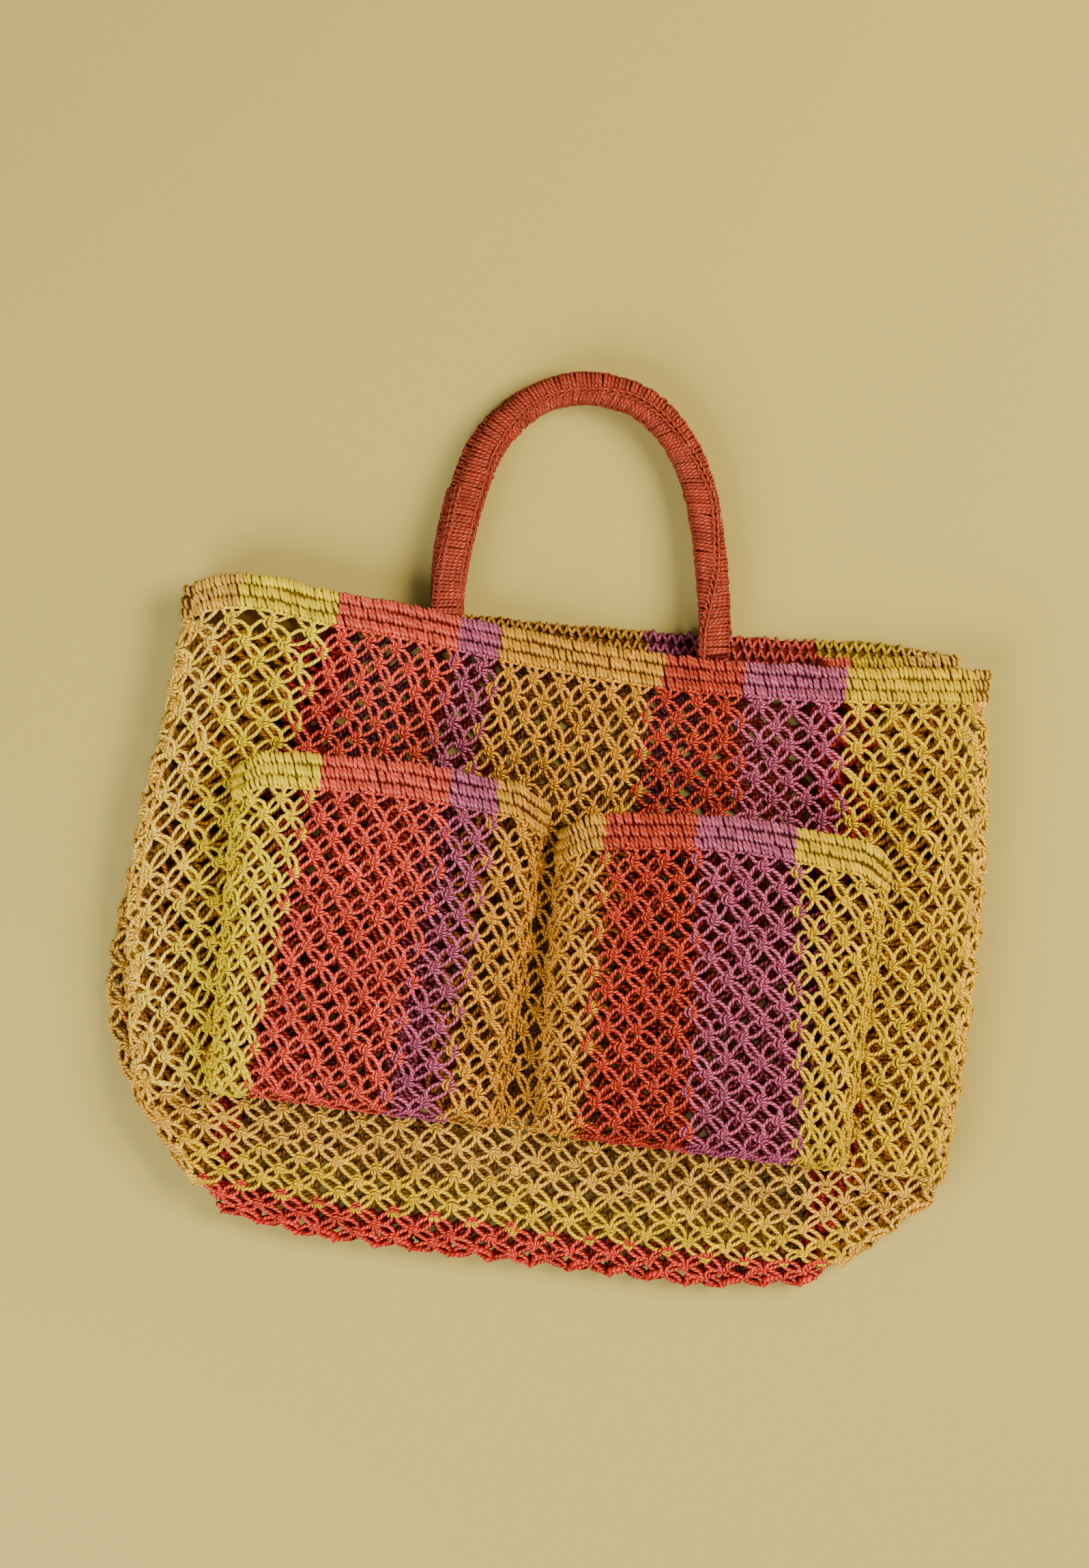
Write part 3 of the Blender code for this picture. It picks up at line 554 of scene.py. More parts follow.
class Strands:
    """Tubes of cord gathered into one piece."""

    def __init__(self):
        self.verts, self.faces, self.twist, self.tint = [], [], [], []
        self.count = 0

    def add(self, points, normals, radius, sides, tint, ply=1.0, inner=0.75):
        """points and normals (strand, step, 3); radius broadcasts over them; tint (strand, 3).

        ply is how far the plies show, and inner how light the tint is on the side away from the normals:
        painted shade on that side, whatever the light.
        """
        n, k, _ = points.shape
        points = points.copy()
        points[..., 2] = np.maximum(points[..., 2], radius)
        run = np.zeros((n, k))
        run[:, 1:] = np.cumsum(np.linalg.norm(np.diff(points, axis=1), axis=2), axis=1)
        ahead = unit(np.gradient(points, axis=1))
        beside = unit(np.cross(ahead, normals))
        above = np.cross(beside, ahead)
        radius = np.broadcast_to(radius, (n, k))[..., None]
        angles = 2 * math.pi * np.arange(sides) / sides
        rings = [points + radius * (math.cos(a) * beside + math.sin(a) * above) for a in angles]
        # Painted shade: the tint darkens towards the side away from the normals.
        tone = inner + (1 - inner) * (0.5 + 0.5 * np.sin(angles))
        tints = np.full((n, k, sides, 4), ply)
        tints[..., :3] = np.clip(tint, 0, 1)[:, None, None] * tone[:, None]
        self.tubes(np.stack(rings, axis=2), xyz(np.cos(angles), np.sin(angles), run[..., None]), tints)

    def core(self, rings, tint, closed=False):
        """The cords under the wraps: one tube of rings (step, side, 3), with a tint for each or for all."""
        tints = np.zeros((1, *rings.shape[:2], 4))
        tints[..., :3] = tint[..., None, :]
        # Its twist points sideways, so the jute material gives it the painted shade colour all over.
        self.tubes(rings[None], np.broadcast_to([1.0, 0.0, 0.0], rings[None].shape), tints, closed)

    def tubes(self, rings, twist, tint, closed=False):
        """Tubes of rings (strand, step, side, 3). A closed one runs on to its first ring."""
        index = self.count + np.arange(rings[..., 0].size).reshape(rings.shape[:3])
        self.count += index.size
        if closed:
            index = np.concatenate([index, index[:, :1]], axis=1)
        else:
            self.faces.append(np.concatenate([index[:, 0, ::-1], index[:, -1]]))
        beside = np.roll(index, -1, axis=2)
        quads = np.stack([index[:, :-1], beside[:, :-1], beside[:, 1:], index[:, 1:]], axis=-1)
        self.faces.append(quads.reshape(-1, 4))
        self.verts.append(rings.reshape(-1, 3))
        self.twist.append(twist.reshape(-1, 3))
        self.tint.append(tint.reshape(-1, 4))

    def piece(self, name, node):
        """Makes the mesh and puts it in its node's place."""
        mesh = bpy.data.meshes.new(name)
        verts = (np.concatenate(self.verts) - ORIGIN) * METRES
        mesh.from_pydata(verts, [], [face for faces in self.faces for face in faces.tolist()])
        mesh.shade_smooth()
        twist = mesh.attributes.new("twist", "FLOAT_VECTOR", "POINT")
        twist.data.foreach_set("vector", np.concatenate(self.twist).ravel())
        tint = mesh.attributes.new("tint", "FLOAT_COLOR", "POINT")
        tint.data.foreach_set("color", np.concatenate(self.tint).ravel())
        mesh.materials.append(bpy.data.materials["jute"])
        obj = placed(name, mesh)
        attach(obj, "root")
        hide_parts(node)


def placed(name, data):
    """A new object in the scene."""
    obj = bpy.data.objects.new(name, data)
    bpy.context.scene.collection.objects.link(obj)
    return obj


def spline(points, count):
    """A smooth curve through control points, at count points."""
    points = np.asarray(points, float)
    padded = np.vstack([2 * points[0] - points[1], points, 2 * points[-1] - points[-2]])
    at = np.linspace(0, len(points) - 1, count)
    k = np.minimum(at.astype(int), len(points) - 2)
    t = (at - k)[:, None]
    p0, p1, p2, p3 = (padded[k + n] for n in range(4))
    square = 2 * p0 - 5 * p1 + 4 * p2 - p3
    cube = 3 * p1 - p0 - 3 * p2 + p3
    return 0.5 * (2 * p1 + (p2 - p0) * t + square * t**2 + cube * t**3)


KNOT_PLACE = 0.55  # a knot's middle, as a share of its row
LEG_END, LEG_SWELL = 0.82, 0.22  # a leg's thickness at its ends, and what its middle adds
BODY_END, BODY_SWELL = 0.54, 0.2  # the same for a knot's loops and bars
PLAIN_LEG, PLAIN_BODY = 1.4, 2.1  # how much thicker they are where the knots are plain
WOBBLE = 0.12  # how far a strand lies beside its line in the knot, in millimetres
LEG_BOW = 0.05  # how far a leg bows on its way, in half columns and in rows
BOW_UP = 8.0  # how many millimetres it bows up for one of those
# A knot's strands, in its own millimetres: x to the right, y up and w out of the net.
# Legs run on to the next row's knots, half a column over and one row down.
LEGS = [
    # which side, control points
    (1, [(0.9, -0.9, 1.2), (2.8, -1.1, 1.1), (4.9, -2.3, 0.7), (6.6, -4.4, 0.6), (7.2, -6.2, 0.8),
         (7.2, -7.6, 1.0)]),
    (1, [(0.2, -1.6, 0.3), (1.0, -3.3, 0.1), (2.2, -4.9, 0.0), (3.6, -6.4, 0.1), (5.3, -7.4, 0.3)]),
    (-1, [(-1.6, 0.9, 0.3), (-4.2, -0.2, 0.2), (-6.0, -2.2, 0.3), (-7.0, -4.4, 0.5), (-6.9, -6.3, 0.8),
          (-6.6, -7.7, 1.0)]),
    (-1, [(-0.2, -1.7, 0.2), (-1.2, -3.9, 0.1), (-2.5, -5.7, 0.2), (-4.2, -7.2, 0.7), (-5.6, -7.9, 1.2)]),
]
LOOPS = [
    [(-1.2, 2.6, 0.3), (-2.4, 1.6, 1.0), (-2.9, 0.2, 1.2), (-2.6, -1.2, 1.0), (-1.5, -2.3, 0.2)],
    [(-0.1, 2.5, 0.5), (-1.1, 1.4, 1.4), (-1.4, 0.0, 1.7), (-1.1, -1.4, 1.3), (-0.2, -2.5, 0.3)],
]
BARS = [
    [(-0.7, 0.9, 1.0), (0.4, 1.5, 1.6), (1.5, 2.4, 1.0)],
    [(-0.4, 0.1, 1.4), (1.0, 0.6, 1.9), (2.3, 1.4, 1.2)],
    [(-0.7, -0.7, 1.2), (0.8, -0.7, 1.8), (2.4, -1.0, 1.2)],
    [(-0.5, -1.8, 0.8), (0.8, -1.9, 1.3), (2.2, -2.3, 0.6)],
]


def net_strands(net, rng, chosen, fine, inner=0.9, painted_shade=1.0, thick=1.0):
    """The strands of the chosen knots: chosen(h, r) says which. Fine ones have more sides and steps."""
    cord = thick * CORD / 2
    last = int(net.rows(np.arange(net.halves + 1.0)).max()) + 1
    rows, halves = last + 3, net.halves + 5
    shift = rng.normal(0, 0.5, (rows, halves, 2))
    turn = rng.normal(0, 0.10, (rows, halves))
    size = rng.normal(1.0, 0.06, (rows, halves))

    def of_knots(values, r, h):
        """The knots' own values. A table has spare room for one row above and two half columns beside."""
        return values[r + 1, h + 2][:, None]

    r, h = np.meshgrid(np.arange(-1, last), np.arange(0, net.halves + 1), indexing="ij")
    knotted = ((h + r) % 2 == 1) & (r + KNOT_PLACE < net.rows(h.astype(float)))
    r, h = r[knotted], h[knotted]
    keep = chosen(h.astype(float), np.maximum(r + KNOT_PLACE, 0.0))
    r, h = r[keep], h[keep]
    left = net.palette[np.searchsorted(net.firsts, h, side="left")]
    right = net.palette[np.searchsorted(net.firsts, h, side="right")]
    knot_tone = of_knots(rng.normal(1.0, 0.05, (rows, halves)), r, h)

    def located(r, h, local):
        """Local points of knots (knot, step, 3) as half columns, rows and height."""
        a, s = of_knots(turn, r, h), of_knots(size, r, h)
        x = local[..., 0] * np.cos(a) - local[..., 1] * np.sin(a)
        y = local[..., 0] * np.sin(a) + local[..., 1] * np.cos(a)
        across = h[:, None] + (of_knots(shift[..., 0], r, h) + x * s) / HALF
        down = r[:, None] + KNOT_PLACE + (of_knots(shift[..., 1], r, h) - y * s) / ROW
        return across, down, local[..., 2] * s

    strands = Strands()
    sides = 5 if fine else 4

    def draw(across, down, w, radius, tint):
        points, normals = net.place(across, down, w)
        # A knot's tint varies at random, and is multiplied by the piece's painted shade: darker, redder
        # tints for layers behind or under others. Every strand is also a little darker on its side away from
        # the normals, also painted shade.
        tone = knot_tone * rng.normal(1.0, 0.07, (len(r), 1)) * np.array(painted_shade)
        strands.add(points, normals, radius, sides, tint * tone, 1.0, inner)

    steps = 5 if fine else 4
    t = np.linspace(0, 1, steps)
    for way, control in LEGS:
        local = spline(control, steps) + rng.normal(0, WOBBLE, (len(r), 1, 3))
        near = located(r, h, local)
        there = local - np.array([way * HALF, -ROW, 0])
        edge = np.clip(h + way, -2, net.halves + 2)
        far = located(r + 1, edge, there)
        across, down, w = (a * (1 - t) + b * t for a, b in zip(near, far))
        bow = rng.normal(0, LEG_BOW, (3, len(r), 1)) * np.sin(math.pi * t)
        across, down, w = across + bow[0], down + bow[1], w + BOW_UP * bow[2]
        radius = cord * (LEG_END + LEG_SWELL * np.sin(math.pi * t)) * (1.0 if fine else PLAIN_LEG)
        draw(across, down, w, radius, right if way == 1 else left)
    body = [(LOOPS, right), (BARS, left)] if fine else [(LOOPS[1:], right), (BARS[2:3], left)]
    steps = 4 if fine else 3
    t = np.linspace(0, 1, steps)
    full = r >= 0
    r, h, knot_tone = r[full], h[full], knot_tone[full]
    for group, tint in body:
        for control in group:
            local = spline(control, steps) + rng.normal(0, WOBBLE, (len(r), 1, 3))
            across, down, w = located(r, h, local)
            radius = cord * (BODY_END + BODY_SWELL * np.sin(math.pi * t)) * (1.0 if fine else PLAIN_BODY)
            draw(across, down, w, radius, tint[full])
    return strands


# ---- Bands

WRAP = 1.7  # the thickness of the cord that wraps the bands and handles
WRAP_PITCH = 1.9
WRAP_LEAN = 0.5  # how far a wrap leans along the band, as a share of how far it reaches down
WRAP_OUT = 1.5  # how far a wrap stands out from the band's line
WRAP_DOWN = 2.15  # half a wrap's height
WRAP_END, WRAP_SWELL = 0.72, 0.62  # its thickness at its ends, and what its middle adds
FINE_WRAP, PLAIN_WRAP = (7, 5, 105), (4, 4, 85)  # steps, sides, and degrees up and down
# The wraps' tint is darkened a little; the core's much darker tint is painted shade, where it shows between
# the wraps.
BAND_TONE, CORE_SHADE = 0.76, 0.45
BAND_WAVES = ((0.25, 9.0, 2.1), (0.2, 3.7, 1.0))  # the rows' waves: height, length and turn from row to row
BAND_ROWS = 3
ROW_HEIGHT = BAND_HEIGHT / BAND_ROWS
CORE_THICK, CORE_MARGIN = 1.2, 0.9  # the strip that a band's wraps lie on
DOWN = np.array([0.0, -1.0, 0.0])
UP = np.array([0.0, 0.0, 1.0])
# The mouth band's colours elsewhere: the back's outer side and its inner side, and the folded sides.
BACK_BAND = [("yellow", -190), ("mauve", -117), ("red", -75), ("mustard", -35), ("mauve", 27),
             ("coral", 51), ("yellow", 103), ("tan", 145)]
BACK_INNER = [("mustard", -120), ("mauve", 26), ("coral", 50), ("yellow", 104), ("tan", 140)]
SHOWN_BELOW = 11.0  # the right fold's lower half shows over the mouth
SIDE_BAND = [("coral", 0), ("yellow", 119), ("tan", 145)]


def frame_along(path):
    """Unit vectors ahead, and out of a band, at each point of its line (x, y, z)."""
    ahead = np.gradient(path, axis=0)
    ahead[:, 1] = 0
    ahead = unit(ahead)
    return ahead, xyz(-ahead[:, 2], 0.0, ahead[:, 0])


def colours_at(x, stripes):
    """The colours of stripes at X, from the X at which each one starts."""
    names, starts = zip(*stripes)
    palette = np.array([linear(COLOURS[name]) for name in names])
    return palette[np.searchsorted(starts[1:], x, side="right")]


def mouth_path():
    """The mouth's top line all round, the colour at each point, and where its outer face shows."""
    low = BAND_THICK / 2
    x = np.linspace(side("front_left", 0.0) + INSET, side("front_right", 0.0) - INSET, 240)
    front = xyz(x, smooth(MOUTH_FRONT, x), front_z(x, 0.0))
    x = np.linspace(side("rear_right", 0.0) - INSET, side("rear_left", 0.0) + INSET, 240)
    back = xyz(x, smooth(MOUTH_BACK, x), low)

    def fold(which):
        layers = even(side_layers(*side_edges(which, 0.0), FRONT_Z, low), 160)
        return xyz(layers[:, 0], side_mouth(which, np.linspace(0, 1, 160)), layers[:, 1])

    right, left = fold("right"), fold("left")[::-1]
    parts = [
        (front, colours_at(front[:, 0], FRONT_BAND), np.ones(240, bool)),
        (right, colours_at(right[:, 0], SIDE_BAND), right[:, 2] < SHOWN_BELOW),
        (back, colours_at(back[:, 0], BACK_BAND), np.zeros(240, bool)),
        (left, colours_at(-left[:, 0], SIDE_BAND), np.zeros(160, bool)),
    ]
    return [np.concatenate([part[k][:-1] for part in parts]) for k in range(3)]


def band_strands(path, colours, shown, closed, rng):
    """Rows of wraps below a band's top line, on their core. They are finer where shown says so."""
    strands = Strands()
    loop = np.vstack([path, path[:1]]) if closed else path
    run = run_of(loop)
    ahead, out = frame_along(loop)
    count = int(run[-1] / WRAP_PITCH)
    for row in range(BAND_ROWS):
        at = (np.arange(count) + 0.5 + rng.normal(0, 0.12, count)) * run[-1] / count
        centre = read(at, run, loop)
        forward = unit(read(at, run, ahead))
        outward = unit(read(at, run, out))
        nearest = np.searchsorted(run, at).clip(0, len(path) - 1)
        tint = colours[nearest] * rng.normal(BAND_TONE, 0.08, (count, 1)) * rng.normal(1.0, 0.03, (count, 3))
        wave = sum(high * np.sin(at / long + turn * row) for high, long, turn in BAND_WAVES)
        straight = row == BAND_ROWS - 1
        centre[:, 1] -= ROW_HEIGHT * (row + 0.5) + wave * (not straight) + rng.normal(0, 0.15, count)
        lean = WRAP_LEAN + rng.normal(0, 0.12, count)
        grow = rng.normal(1.0, 0.08, count)
        fine = shown[nearest]
        for which, (steps, sides, bend) in ((fine, FINE_WRAP), (~fine, PLAIN_WRAP)):
            if not which.any():
                continue
            angles = np.radians(np.linspace(-bend, bend, steps))
            radius = WRAP / 2 * (WRAP_END + WRAP_SWELL * np.cos(angles).clip(0, 1))
            c, s = np.cos(angles)[None, :, None], np.sin(angles)[None, :, None]
            g, slant = (values[which][:, None, None] for values in (grow, lean))
            middle, off, on = (values[which][:, None] for values in (centre, outward, forward))
            points = middle + off * c * WRAP_OUT * g + DOWN * s * WRAP_DOWN * g + on * s * slant * WRAP_DOWN
            normals = off * c + DOWN * s
            # Painted shade on each wrap's side towards the core.
            strands.add(points, normals, radius, sides, tint[which], ply=0.6, inner=0.5)
    low, high = CORE_MARGIN, BAND_HEIGHT - CORE_MARGIN
    corners = ((low, -1), (high, -1), (high, 1), (low, 1))
    out = out[: len(path)] * CORE_THICK / 2
    rings = np.stack([path + out * way + DOWN * y for y, way in corners], axis=1)
    # Painted shade: the core is dark where it shows between the wraps.
    strands.core(rings, colours * CORE_SHADE, closed)
    return strands


CHAIN_PITCH = 4.3
CHAIN_ENDS = (-102.0, 166.0)
CHAIN_STITCH = [(2.0, 2.2, 0.5), (1.5, 0.9, 1.4), (0.7, -0.6, 1.5), (-0.2, -1.8, 0.9)]
CHAIN_TONE = 0.62
CHAIN_CORD = 1.15  # its cord's thickness, as a share of WRAP


def inner_chain(strands, rng):
    """The back of the knots, on the inner side of the band's back, which faces up."""
    xs = np.arange(*CHAIN_ENDS, CHAIN_PITCH)
    for row in range(BAND_ROWS):
        x = xs + rng.normal(0, 0.25, len(xs)) + CHAIN_PITCH / 2 * (row % 2)
        y = smooth(MOUTH_BACK, x) - ROW_HEIGHT * (row + 0.5)
        tint = colours_at(x, BACK_INNER) * rng.normal(CHAIN_TONE, 0.08, (len(x), 1))
        local = spline(CHAIN_STITCH, 5)
        for way in (-1, 1):
            points = xyz(
                x[:, None] + way * local[:, 0] + rng.normal(0, 0.3, (len(x), 1)),
                y[:, None] + local[:, 1] + rng.normal(0, 0.4, (len(x), 1)),
                BAND_THICK / 2 + local[:, 2] + rng.normal(0, 0.2, (len(x), 1)),
            )
            points += rng.normal(0, 0.12, points.shape)
            strands.add(points, UP, WRAP / 2 * CHAIN_CORD, 5, tint, ply=0.7)


def pocket_band_path(size):
    x = pocket_across(size, 0.0)
    points = pocket_points(size, x, pocket_top(size, x), 0.0, WALL_REACH)
    points[:, 2] += POCKET_BAND_LIFT
    return even(points, 160)


# ---- Handles

# Chains of stitches along a handle: the share of its length, and the place outwards from its middle.
MAIN_CHAIN = [
    (0.0, -5.8), (0.2, -5.4), (0.3, -3.5), (0.36, -1.5), (0.47, -2.0), (0.53, -0.3), (0.62, 1.0),
    (0.68, 2.2), (0.745, 4.6), (0.8, 3.4), (0.86, 1.7), (0.91, -2.0), (0.955, -5.0), (1.0, -5.4),
]
LEFT_CHAIN = [(0.0, 5.4), (0.13, 5.2), (0.2, 6.2)]
STITCH = [(0.1, 2.1, -0.5), (0.9, 0.8, 0.5), (1.25, -0.7, 0.4), (0.3, -2.3, -0.5)]
HANDLE_PITCH = 1.65
STITCH_PITCH = 3.4
HANDLE_LEAN = 0.10  # how far a wrap runs ahead, for each millimetre across
RIDGE_BOW = 0.22  # how far its upper half bows back, for each millimetre beside the main chain
DIP, DIP_WIDE = 1.1, 1.6  # the dip in the wraps under the main chain
HANDLE_EDGE, HANDLE_FACE = 0.8, 0.75  # how far inside its width and its thickness the wraps run
HANDLE_CORD, STITCH_CORD = 1.26, 0.95  # the cords' thickness, as shares of WRAP
CHAIN_SINK, CHAIN_FALL = 0.9, 3.0  # how far a chain lies below the top, and how much more at the edge
CHAIN_SKEW = 0.4  # how far one arm of a V runs ahead of the other, halved
SQUARENESS = 0.8  # a handle's section is a little squarer than an ellipse
HANDLE_WRAP = 1.6  # the wraps' thickness round the core


class Handle:
    """A handle's line, thickness and height. A flat one lies on the surface all along."""

    def __init__(self, points, flat):
        ks = np.arange(len(points))
        fine = np.linspace(0, ks[-1], 500)
        self.path = np.stack([smooth(list(zip(ks, values)), fine) for values in zip(*points)], axis=-1)
        self.run = run_of(self.path)
        self.length = self.run[-1]
        self.flat = flat

    def point(self, distance):
        return read(distance, self.run, self.path)

    def ways(self, distance):
        """Unit vectors ahead along the handle, and across it."""
        ahead = unit(self.point(distance + 0.5) - self.point(distance - 0.5))[:, None]
        return ahead, np.stack([-ahead[..., 1], ahead[..., 0]], axis=-1)

    def section(self, distance):
        """The thickness and the underside's height, as columns."""
        share = distance[:, None] / self.length
        return level(HANDLE_THICK, share), level(HANDLE_UNDERSIDE, share) * (0 if self.flat else 1)

    def spots(self, distance, x, y, z):
        """Points x across from the middle and y ahead of it, at the height z."""
        ahead, across = self.ways(distance)
        flat = self.point(distance)[:, None] + across * x[..., None] + ahead * y[..., None]
        return np.concatenate([flat, z[..., None]], axis=-1)


def handle_strands(handle, rng):
    """A wrapped handle with its chains and its core."""
    strands = Strands()
    colour = linear(COLOURS["handle"])
    count = int(handle.length / HANDLE_PITCH)
    distance = (np.arange(count) + 0.5 + rng.normal(0, 0.06, count)) * handle.length / count
    thick, under = handle.section(distance)
    angles = np.linspace(0, 2 * math.pi, 17)
    c, s = (np.sign(wave) * np.abs(wave) ** SQUARENESS for wave in (np.cos(angles), np.sin(angles)))
    half_width = (HANDLE_WIDTH / 2 - HANDLE_EDGE) * rng.normal(1.0, 0.035, (count, 1))
    offset = c * half_width
    beyond = offset - level(MAIN_CHAIN, distance / handle.length)[:, None]
    lean = rng.normal(HANDLE_LEAN, 0.03, (count, 1)) * offset
    bow = RIDGE_BOW * np.abs(beyond) * (s > 0)
    dip = DIP * np.exp(-((beyond / DIP_WIDE) ** 2)) * (s > 0)
    z = under + thick / 2 + s * (thick / 2 - HANDLE_FACE) - dip
    z += rng.normal(0, 0.18, (count, 1)) * (s > 0)
    points = handle.spots(distance, offset, lean - bow, z)
    rise = np.broadcast_to(s[:, None], (*z.shape, 1))
    normals = np.concatenate([handle.ways(distance)[1] * c[:, None], rise], axis=-1)
    tint = colour * rng.normal(1.0, 0.12, (count, 1)) * rng.normal(1.0, 0.03, (count, 3))
    strands.add(points, normals, WRAP / 2 * HANDLE_CORD, 5, tint, ply=0.5)
    chain(strands, handle, MAIN_CHAIN, rng)
    chain(strands, handle, LEFT_CHAIN, rng)
    handle_core(strands, handle, colour)
    return strands


def chain(strands, handle, route, rng):
    """A chain of V stitches along the handle's upper side."""
    start, end = route[0][0] * handle.length, route[-1][0] * handle.length
    count = int((end - start) / STITCH_PITCH)
    distance = start + (np.arange(count) + 0.5) * (end - start) / count
    thick, under = handle.section(distance)
    place = level(route, distance / handle.length)
    for way in (1, -1):
        local = spline([(way * x, y, z) for x, y, z in STITCH], 5)
        x = place[:, None] + local[:, 0]
        y = local[:, 1] + rng.normal(0, 0.2, (count, 1)) + CHAIN_SKEW * way
        edge = np.clip(np.abs(x) / (HANDLE_WIDTH / 2), 0, 1)
        z = under + thick - CHAIN_SINK - CHAIN_FALL * edge**4 + local[:, 2]
        tint = linear(COLOURS["handle"]) * rng.normal(1.06, 0.08, (count, 1))
        points = handle.spots(distance, x, y, z)
        strands.add(points, UP, WRAP / 2 * STITCH_CORD, 5, tint, ply=0.5)


def handle_core(strands, handle, colour):
    """The cords inside the wraps."""
    distance = np.linspace(0.5, handle.length - 0.5, 80)
    thick, under = handle.section(distance)
    angles = 2 * math.pi * np.arange(10) / 10
    x = np.cos(angles)[None, :] * (HANDLE_WIDTH / 2 - HANDLE_WRAP)
    z = under + thick / 2 + np.sin(angles) * (thick / 2 - HANDLE_WRAP)
    strands.core(handle.spots(distance, x, np.zeros(1), z), colour[None])


# ---- Material, floor, light and camera

PLY_TURN = 2.1  # millimetres of cord from one ply to the next
PLY_LEAN = 1.5  # how far the plies are drawn out along the strand
PLY_ROUND = 1.2  # the power that shapes a ply's section
PLY_FAR = 0.9  # how light a strand is where it shows no plies
FIBRES_ROUND, FIBRES_ALONG = 2.6, 0.35  # how fine the fibres are, round a strand and along it
FIBRES_APART = 250.0  # sets one strand's fibres apart from the next one's
DEEP_GAMMA, DEEP_SHADE = 1.6, 0.5  # painted shade between the plies and on a strand's flanks: its dye deeper and darker
PALE_GAMMA = 0.32  # pale fibres on a strand's crest: partly the jute's own pale fibres, partly a painted highlight
BUMP_DEPTH = 0.0005


def jute_material():
    """Two-ply jute: the plies' twist and the fibres come from each strand's own angle and length."""
    mat = bpy.data.materials.new("jute")
    mat.use_nodes = True
    nodes, links = mat.node_tree.nodes, mat.node_tree.links

    def feed(inputs, values):
        for name, value in values.items():
            if isinstance(value, bpy.types.NodeSocket):
                links.new(value, inputs[name])
            else:
                inputs[name].default_value = value

    def node(kind, values, **settings):
        """A new node's outputs. Its settings come first, because its inputs depend on them."""
        new = nodes.new("ShaderNode" + kind)
        for name, value in settings.items():
            setattr(new, name, value)
        feed(new.inputs, values)
        return new.outputs

    def maths(operation, a, b=0.5):
        return node("Math", {0: a, 1: b}, operation=operation)[0]

    def times(a, b):
        return maths("MULTIPLY", a, b)

    def spread(value, low, high, to_low=0.0, to_high=1.0):
        """value's range from low to high, spread from to_low to to_high."""
        ends = {"From Min": low, "From Max": high, "To Min": to_low, "To Max": to_high}
        return node("MapRange", {"Value": value, **ends})[0]

    def blend(factor, low, high):
        """Mixes two colours."""
        return node("Mix", {"Factor": factor, "A": low, "B": high}, data_type="RGBA")["Result"]

    def scaled(colour, by):
        return node("VectorMath", {0: colour, "Scale": by}, operation="SCALE")[0]

    def toned(colour, gamma):
        """The colour paler, with a gamma under one, or deeper."""
        return node("Gamma", {"Color": colour, "Gamma": gamma})[0]

    # A strand's twist is (beside, up, millimetres along), and its tint's alpha is how far its plies show.
    beside, up, along = node("SeparateXYZ", {0: node("Attribute", {}, attribute_name="twist")["Vector"]})
    tint = node("Attribute", {}, attribute_name="tint")
    dyed, plied = tint["Color"], tint["Alpha"]
    turns = times(along, math.pi / PLY_TURN)
    turned = maths("ADD", turns, times(maths("ARCTAN2", beside, up), PLY_LEAN))
    wave = maths("COSINE", turned)
    ply = maths("POWER", maths("ABSOLUTE", wave), PLY_ROUND)

    position = node("NewGeometry", {})["Position"]
    patch = node("TexNoise", {"Scale": 120.0, "Detail": 2.0, "Vector": position})["Fac"]
    round_x = times(wave, FIBRES_ROUND)
    round_y = times(maths("SINE", turned), FIBRES_ROUND)
    place = node("CombineXYZ", {"X": round_x, "Y": round_y, "Z": times(along, FIBRES_ALONG)})[0]
    moved = node("VectorMath", {0: place, 1: scaled(position, FIBRES_APART)})[0]
    fibre = node("TexNoise", {"Scale": 1.3, "Detail": 2.0, "Vector": moved})["Fac"]

    # Painted shade: the colour turns deeper and darker in the grooves between the plies and on a strand's
    # flanks, beside its normal.
    weight = node("Mix", {"Factor": plied, "A": PLY_FAR, "B": ply})[0]
    painted_lit = times(weight, spread(maths("ABSOLUTE", up), 0.0, 0.95))
    speckle = spread(fibre, 0.32, 0.62, 0.75, 1.08)
    uneven = times(speckle, spread(patch, 0.3, 0.7, 0.85, 1.12))
    # Pale fibres, shown only on a strand's lit crest: partly the jute's own pale fibres, partly a painted
    # highlight.
    pale_fibres_and_highlight = times(spread(fibre, 0.42, 0.60, 0.0, 0.6), spread(painted_lit, 0.45, 1.0))
    painted_shade_colour = scaled(toned(dyed, DEEP_GAMMA), DEEP_SHADE)
    colour = blend(spread(painted_lit, 0.05, 0.5), painted_shade_colour, dyed)
    colour = blend(pale_fibres_and_highlight, colour, toned(dyed, PALE_GAMMA))
    plies = times(times(ply, plied), 0.8)
    height = maths("ADD", plies, times(fibre, 0.4))
    bump = node("Bump", {"Strength": 0.9, "Distance": BUMP_DEPTH, "Height": height})[0]
    feed(nodes["Principled BSDF"].inputs, {
        "Base Color": scaled(colour, uneven), "Normal": bump, "Roughness": 0.75, "Specular IOR Level": 0.15,
    })


FLOOR_Z = -0.0003
FLOOR_REACH = 3.0
FLOOR_COLOUR = (0.69, 0.63, 0.34)


def floor():
    mesh = bpy.data.meshes.new("floor")
    ways = ((-1, -1), (1, -1), (1, 1), (-1, 1))
    mesh.from_pydata([(x * FLOOR_REACH, y * FLOOR_REACH, FLOOR_Z) for x, y in ways], [], [(0, 1, 2, 3)])
    mat = bpy.data.materials.new("floor")
    mat.use_nodes = True
    shader = mat.node_tree.nodes["Principled BSDF"]
    shader.inputs["Base Color"].default_value = (*linear(FLOOR_COLOUR), 1.0)
    shader.inputs["Roughness"].default_value = 0.85
    mesh.materials.append(mat)
    placed("floor", mesh)


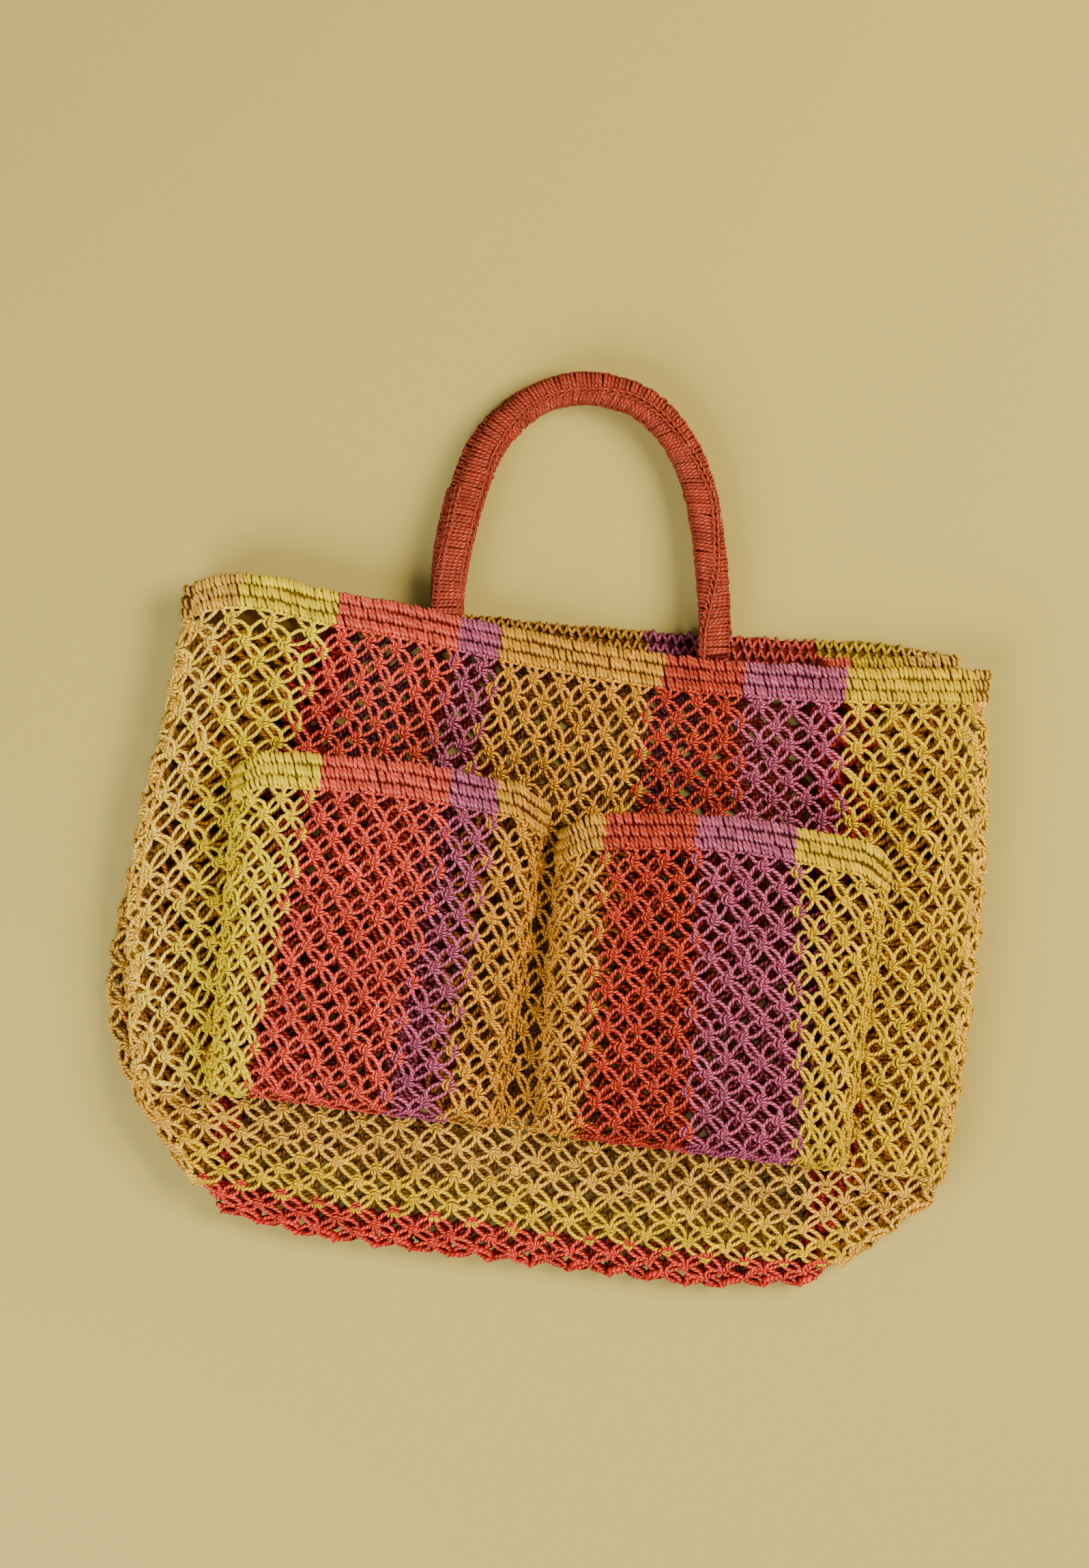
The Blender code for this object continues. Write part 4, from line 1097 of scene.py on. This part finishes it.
def area_light(name, place, aim, size, power, colour):
    """A square light, in metres and watts."""
    data = bpy.data.lights.new(name, "AREA")
    data.shape = "SQUARE"
    data.size = size
    data.energy = power
    data.color = colour
    obj = placed(name, data)
    obj.location = place
    direction = np.array(aim, float) - np.array(place, float)
    obj.rotation_euler = Vector(direction).to_track_quat("-Z", "Y").to_euler()


PHOTO_HIGH = 2299  # the photograph's height in pixels
PIXEL = 0.305  # millimetres to a pixel of the photograph
ROLL = 7.1  # degrees
MIDDLE = (-11.1, -66.7)  # the frame's middle, in the bag's own layout
CAMERA_HEIGHT = 1500.0  # over the middle of the bag's thickness
BAG_MIDDLE_Z = 20.0
SENSOR = 36.0


def camera():
    data = bpy.data.cameras.new("camera")
    data.sensor_width = SENSOR
    data.lens = SENSOR * CAMERA_HEIGHT / (PHOTO_HIGH * PIXEL)
    obj = placed("camera", data)
    obj.location = (np.array([*MIDDLE, CAMERA_HEIGHT + BAG_MIDDLE_Z]) - ORIGIN) * METRES
    obj.rotation_euler = (0, 0, math.radians(ROLL))
    bpy.context.scene.camera = obj


def lights():
    world = bpy.data.worlds.new("room")
    world.use_nodes = True
    background = world.node_tree.nodes["Background"]
    background.inputs["Color"].default_value = (1.0, 0.92, 0.74, 1.0)
    background.inputs["Strength"].default_value = 0.31
    bpy.context.scene.world = world
    area_light("key", (1.0, 0.45, 1.2), (0, 0, 0), 0.9, 50, (1.0, 0.88, 0.64))
    area_light("fill", (-0.6, -0.9, 0.9), (-0.05, -0.2, 0), 1.0, 27, (0.98, 0.98, 0.92))


# ---- The whole


def behind_pockets(net):
    """Whether points of the front net lie behind a pocket's face."""

    def test(h, r):
        p = net.where(h, net.down(h, r))
        hidden = np.zeros(len(h), bool)
        for size in POCKETS:
            inside = np.minimum(p[:, 0] - size["left"], size["right"] - p[:, 0]) > POCKET_COVER
            hidden |= inside & (size["top_middle"] - p[:, 1] > POCKET_COVER)
        return hidden

    return test


def every(h, r):
    return np.ones(len(h), bool)


def at_edges(h, r):
    """The columns of a side's net that bend round its two folded edges."""
    return (h < SIDE_EDGE) | (h > STRIP_HALVES - SIDE_EDGE)


def build_nets():
    rng = np.random.default_rng(SEED)
    front = front_net()
    hidden = behind_pockets(front)
    shown = net_strands(front, rng, lambda h, r: ~hidden(h, r), True)
    shown.piece("front_net_strands", "front_net")
    # Painted shade: the strands behind the pockets and in the back net get darker, redder tints, and a much
    # darker side away from the net's normals.
    behind = net_strands(front, rng, hidden, False, inner=0.3, painted_shade=(0.66, 0.42, 0.4))
    behind.piece("front_net_behind_pockets", "front_net")
    back = net_strands(back_net(), rng, every, False, inner=0.22, painted_shade=(1.1, 0.78, 0.7))
    back.piece("back_net_strands", "back_net")
    for which in ("left", "right"):
        net = side_net(which)
        edges = net_strands(net, rng, at_edges, True, thick=1.2)
        edges.piece(f"side_{which}_edge_strands", "side_and_base_net")
        # Painted shade: the folds' strands get darker, redder tints.
        folds = net_strands(net, rng, lambda h, r: ~at_edges(h, r), False, painted_shade=(0.85, 0.58, 0.5))
        folds.piece(f"side_{which}_fold_strands", "side_and_base_net")
    for which in ("left", "right"):
        build_base(which, rng)
    for pocket in POCKETS:
        strands = net_strands(pocket_net(pocket), rng, every, True)
        strands.piece(pocket["name"] + "_strands", pocket["name"] + "_net")


def build_base(which, rng):
    net = base_net(which)

    def on_base(h, r):
        return (r > 0.5) & (np.abs(net.where(h, r * BASE_ROW)[:, 0] - net.straight(r)) < BASE_FADE)

    def upper(h, r):
        return on_base(h, r) & ((h < BASE_UPPER) if which == "left" else (h > STRIP_HALVES - BASE_UPPER))

    def lower(h, r):
        return on_base(h, r) & ~upper(h, r)

    top = net_strands(net, rng, upper, True)
    top.piece(f"base_{which}_upper_strands", "side_and_base_net")
    # Painted shade: the base's lower layer gets a warmer tint, darker in green and blue, and a darker side
    # away from the normals.
    under = net_strands(net, rng, lower, False, inner=0.25, painted_shade=(1.15, 0.88, 0.7), thick=1.3)
    under.piece(f"base_{which}_lower_strands", "side_and_base_net")


def build_bands():
    rng = np.random.default_rng(SEED + 1)
    path, colours, shown = mouth_path()
    strands = band_strands(path, colours, shown, True, rng)
    inner_chain(strands, rng)
    strands.piece("mouth_band_wraps", "mouth_band")
    for pocket in POCKETS:
        name = pocket["name"]
        path = pocket_band_path(pocket)
        colours = colours_at(path[:, 0], POCKET_BANDS[name])
        strands = band_strands(path, colours, np.ones(len(path), bool), False, rng)
        strands.piece(name + "_band_wraps", name + "_band")


def build_handles():
    rng = np.random.default_rng(SEED + 2)
    handle_strands(Handle(FRONT_HANDLE, False), rng).piece("handle_front_wraps", "handle_front")
    handle_strands(Handle(BACK_HANDLE, True), rng).piece("handle_back_wraps", "handle_back")


def corners(pair):
    return [[round(float(v), 5) for v in corner] for corner in pair]


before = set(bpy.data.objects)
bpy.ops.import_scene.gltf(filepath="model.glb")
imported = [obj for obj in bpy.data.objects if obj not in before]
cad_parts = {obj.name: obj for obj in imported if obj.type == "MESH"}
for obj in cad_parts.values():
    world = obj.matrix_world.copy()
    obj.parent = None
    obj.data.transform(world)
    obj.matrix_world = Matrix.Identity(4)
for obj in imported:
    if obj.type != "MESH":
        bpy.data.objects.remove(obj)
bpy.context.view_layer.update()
jute_material()
build_nets()
build_bands()
build_handles()
floor()
lights()
camera()
bpy.context.view_layer.update()
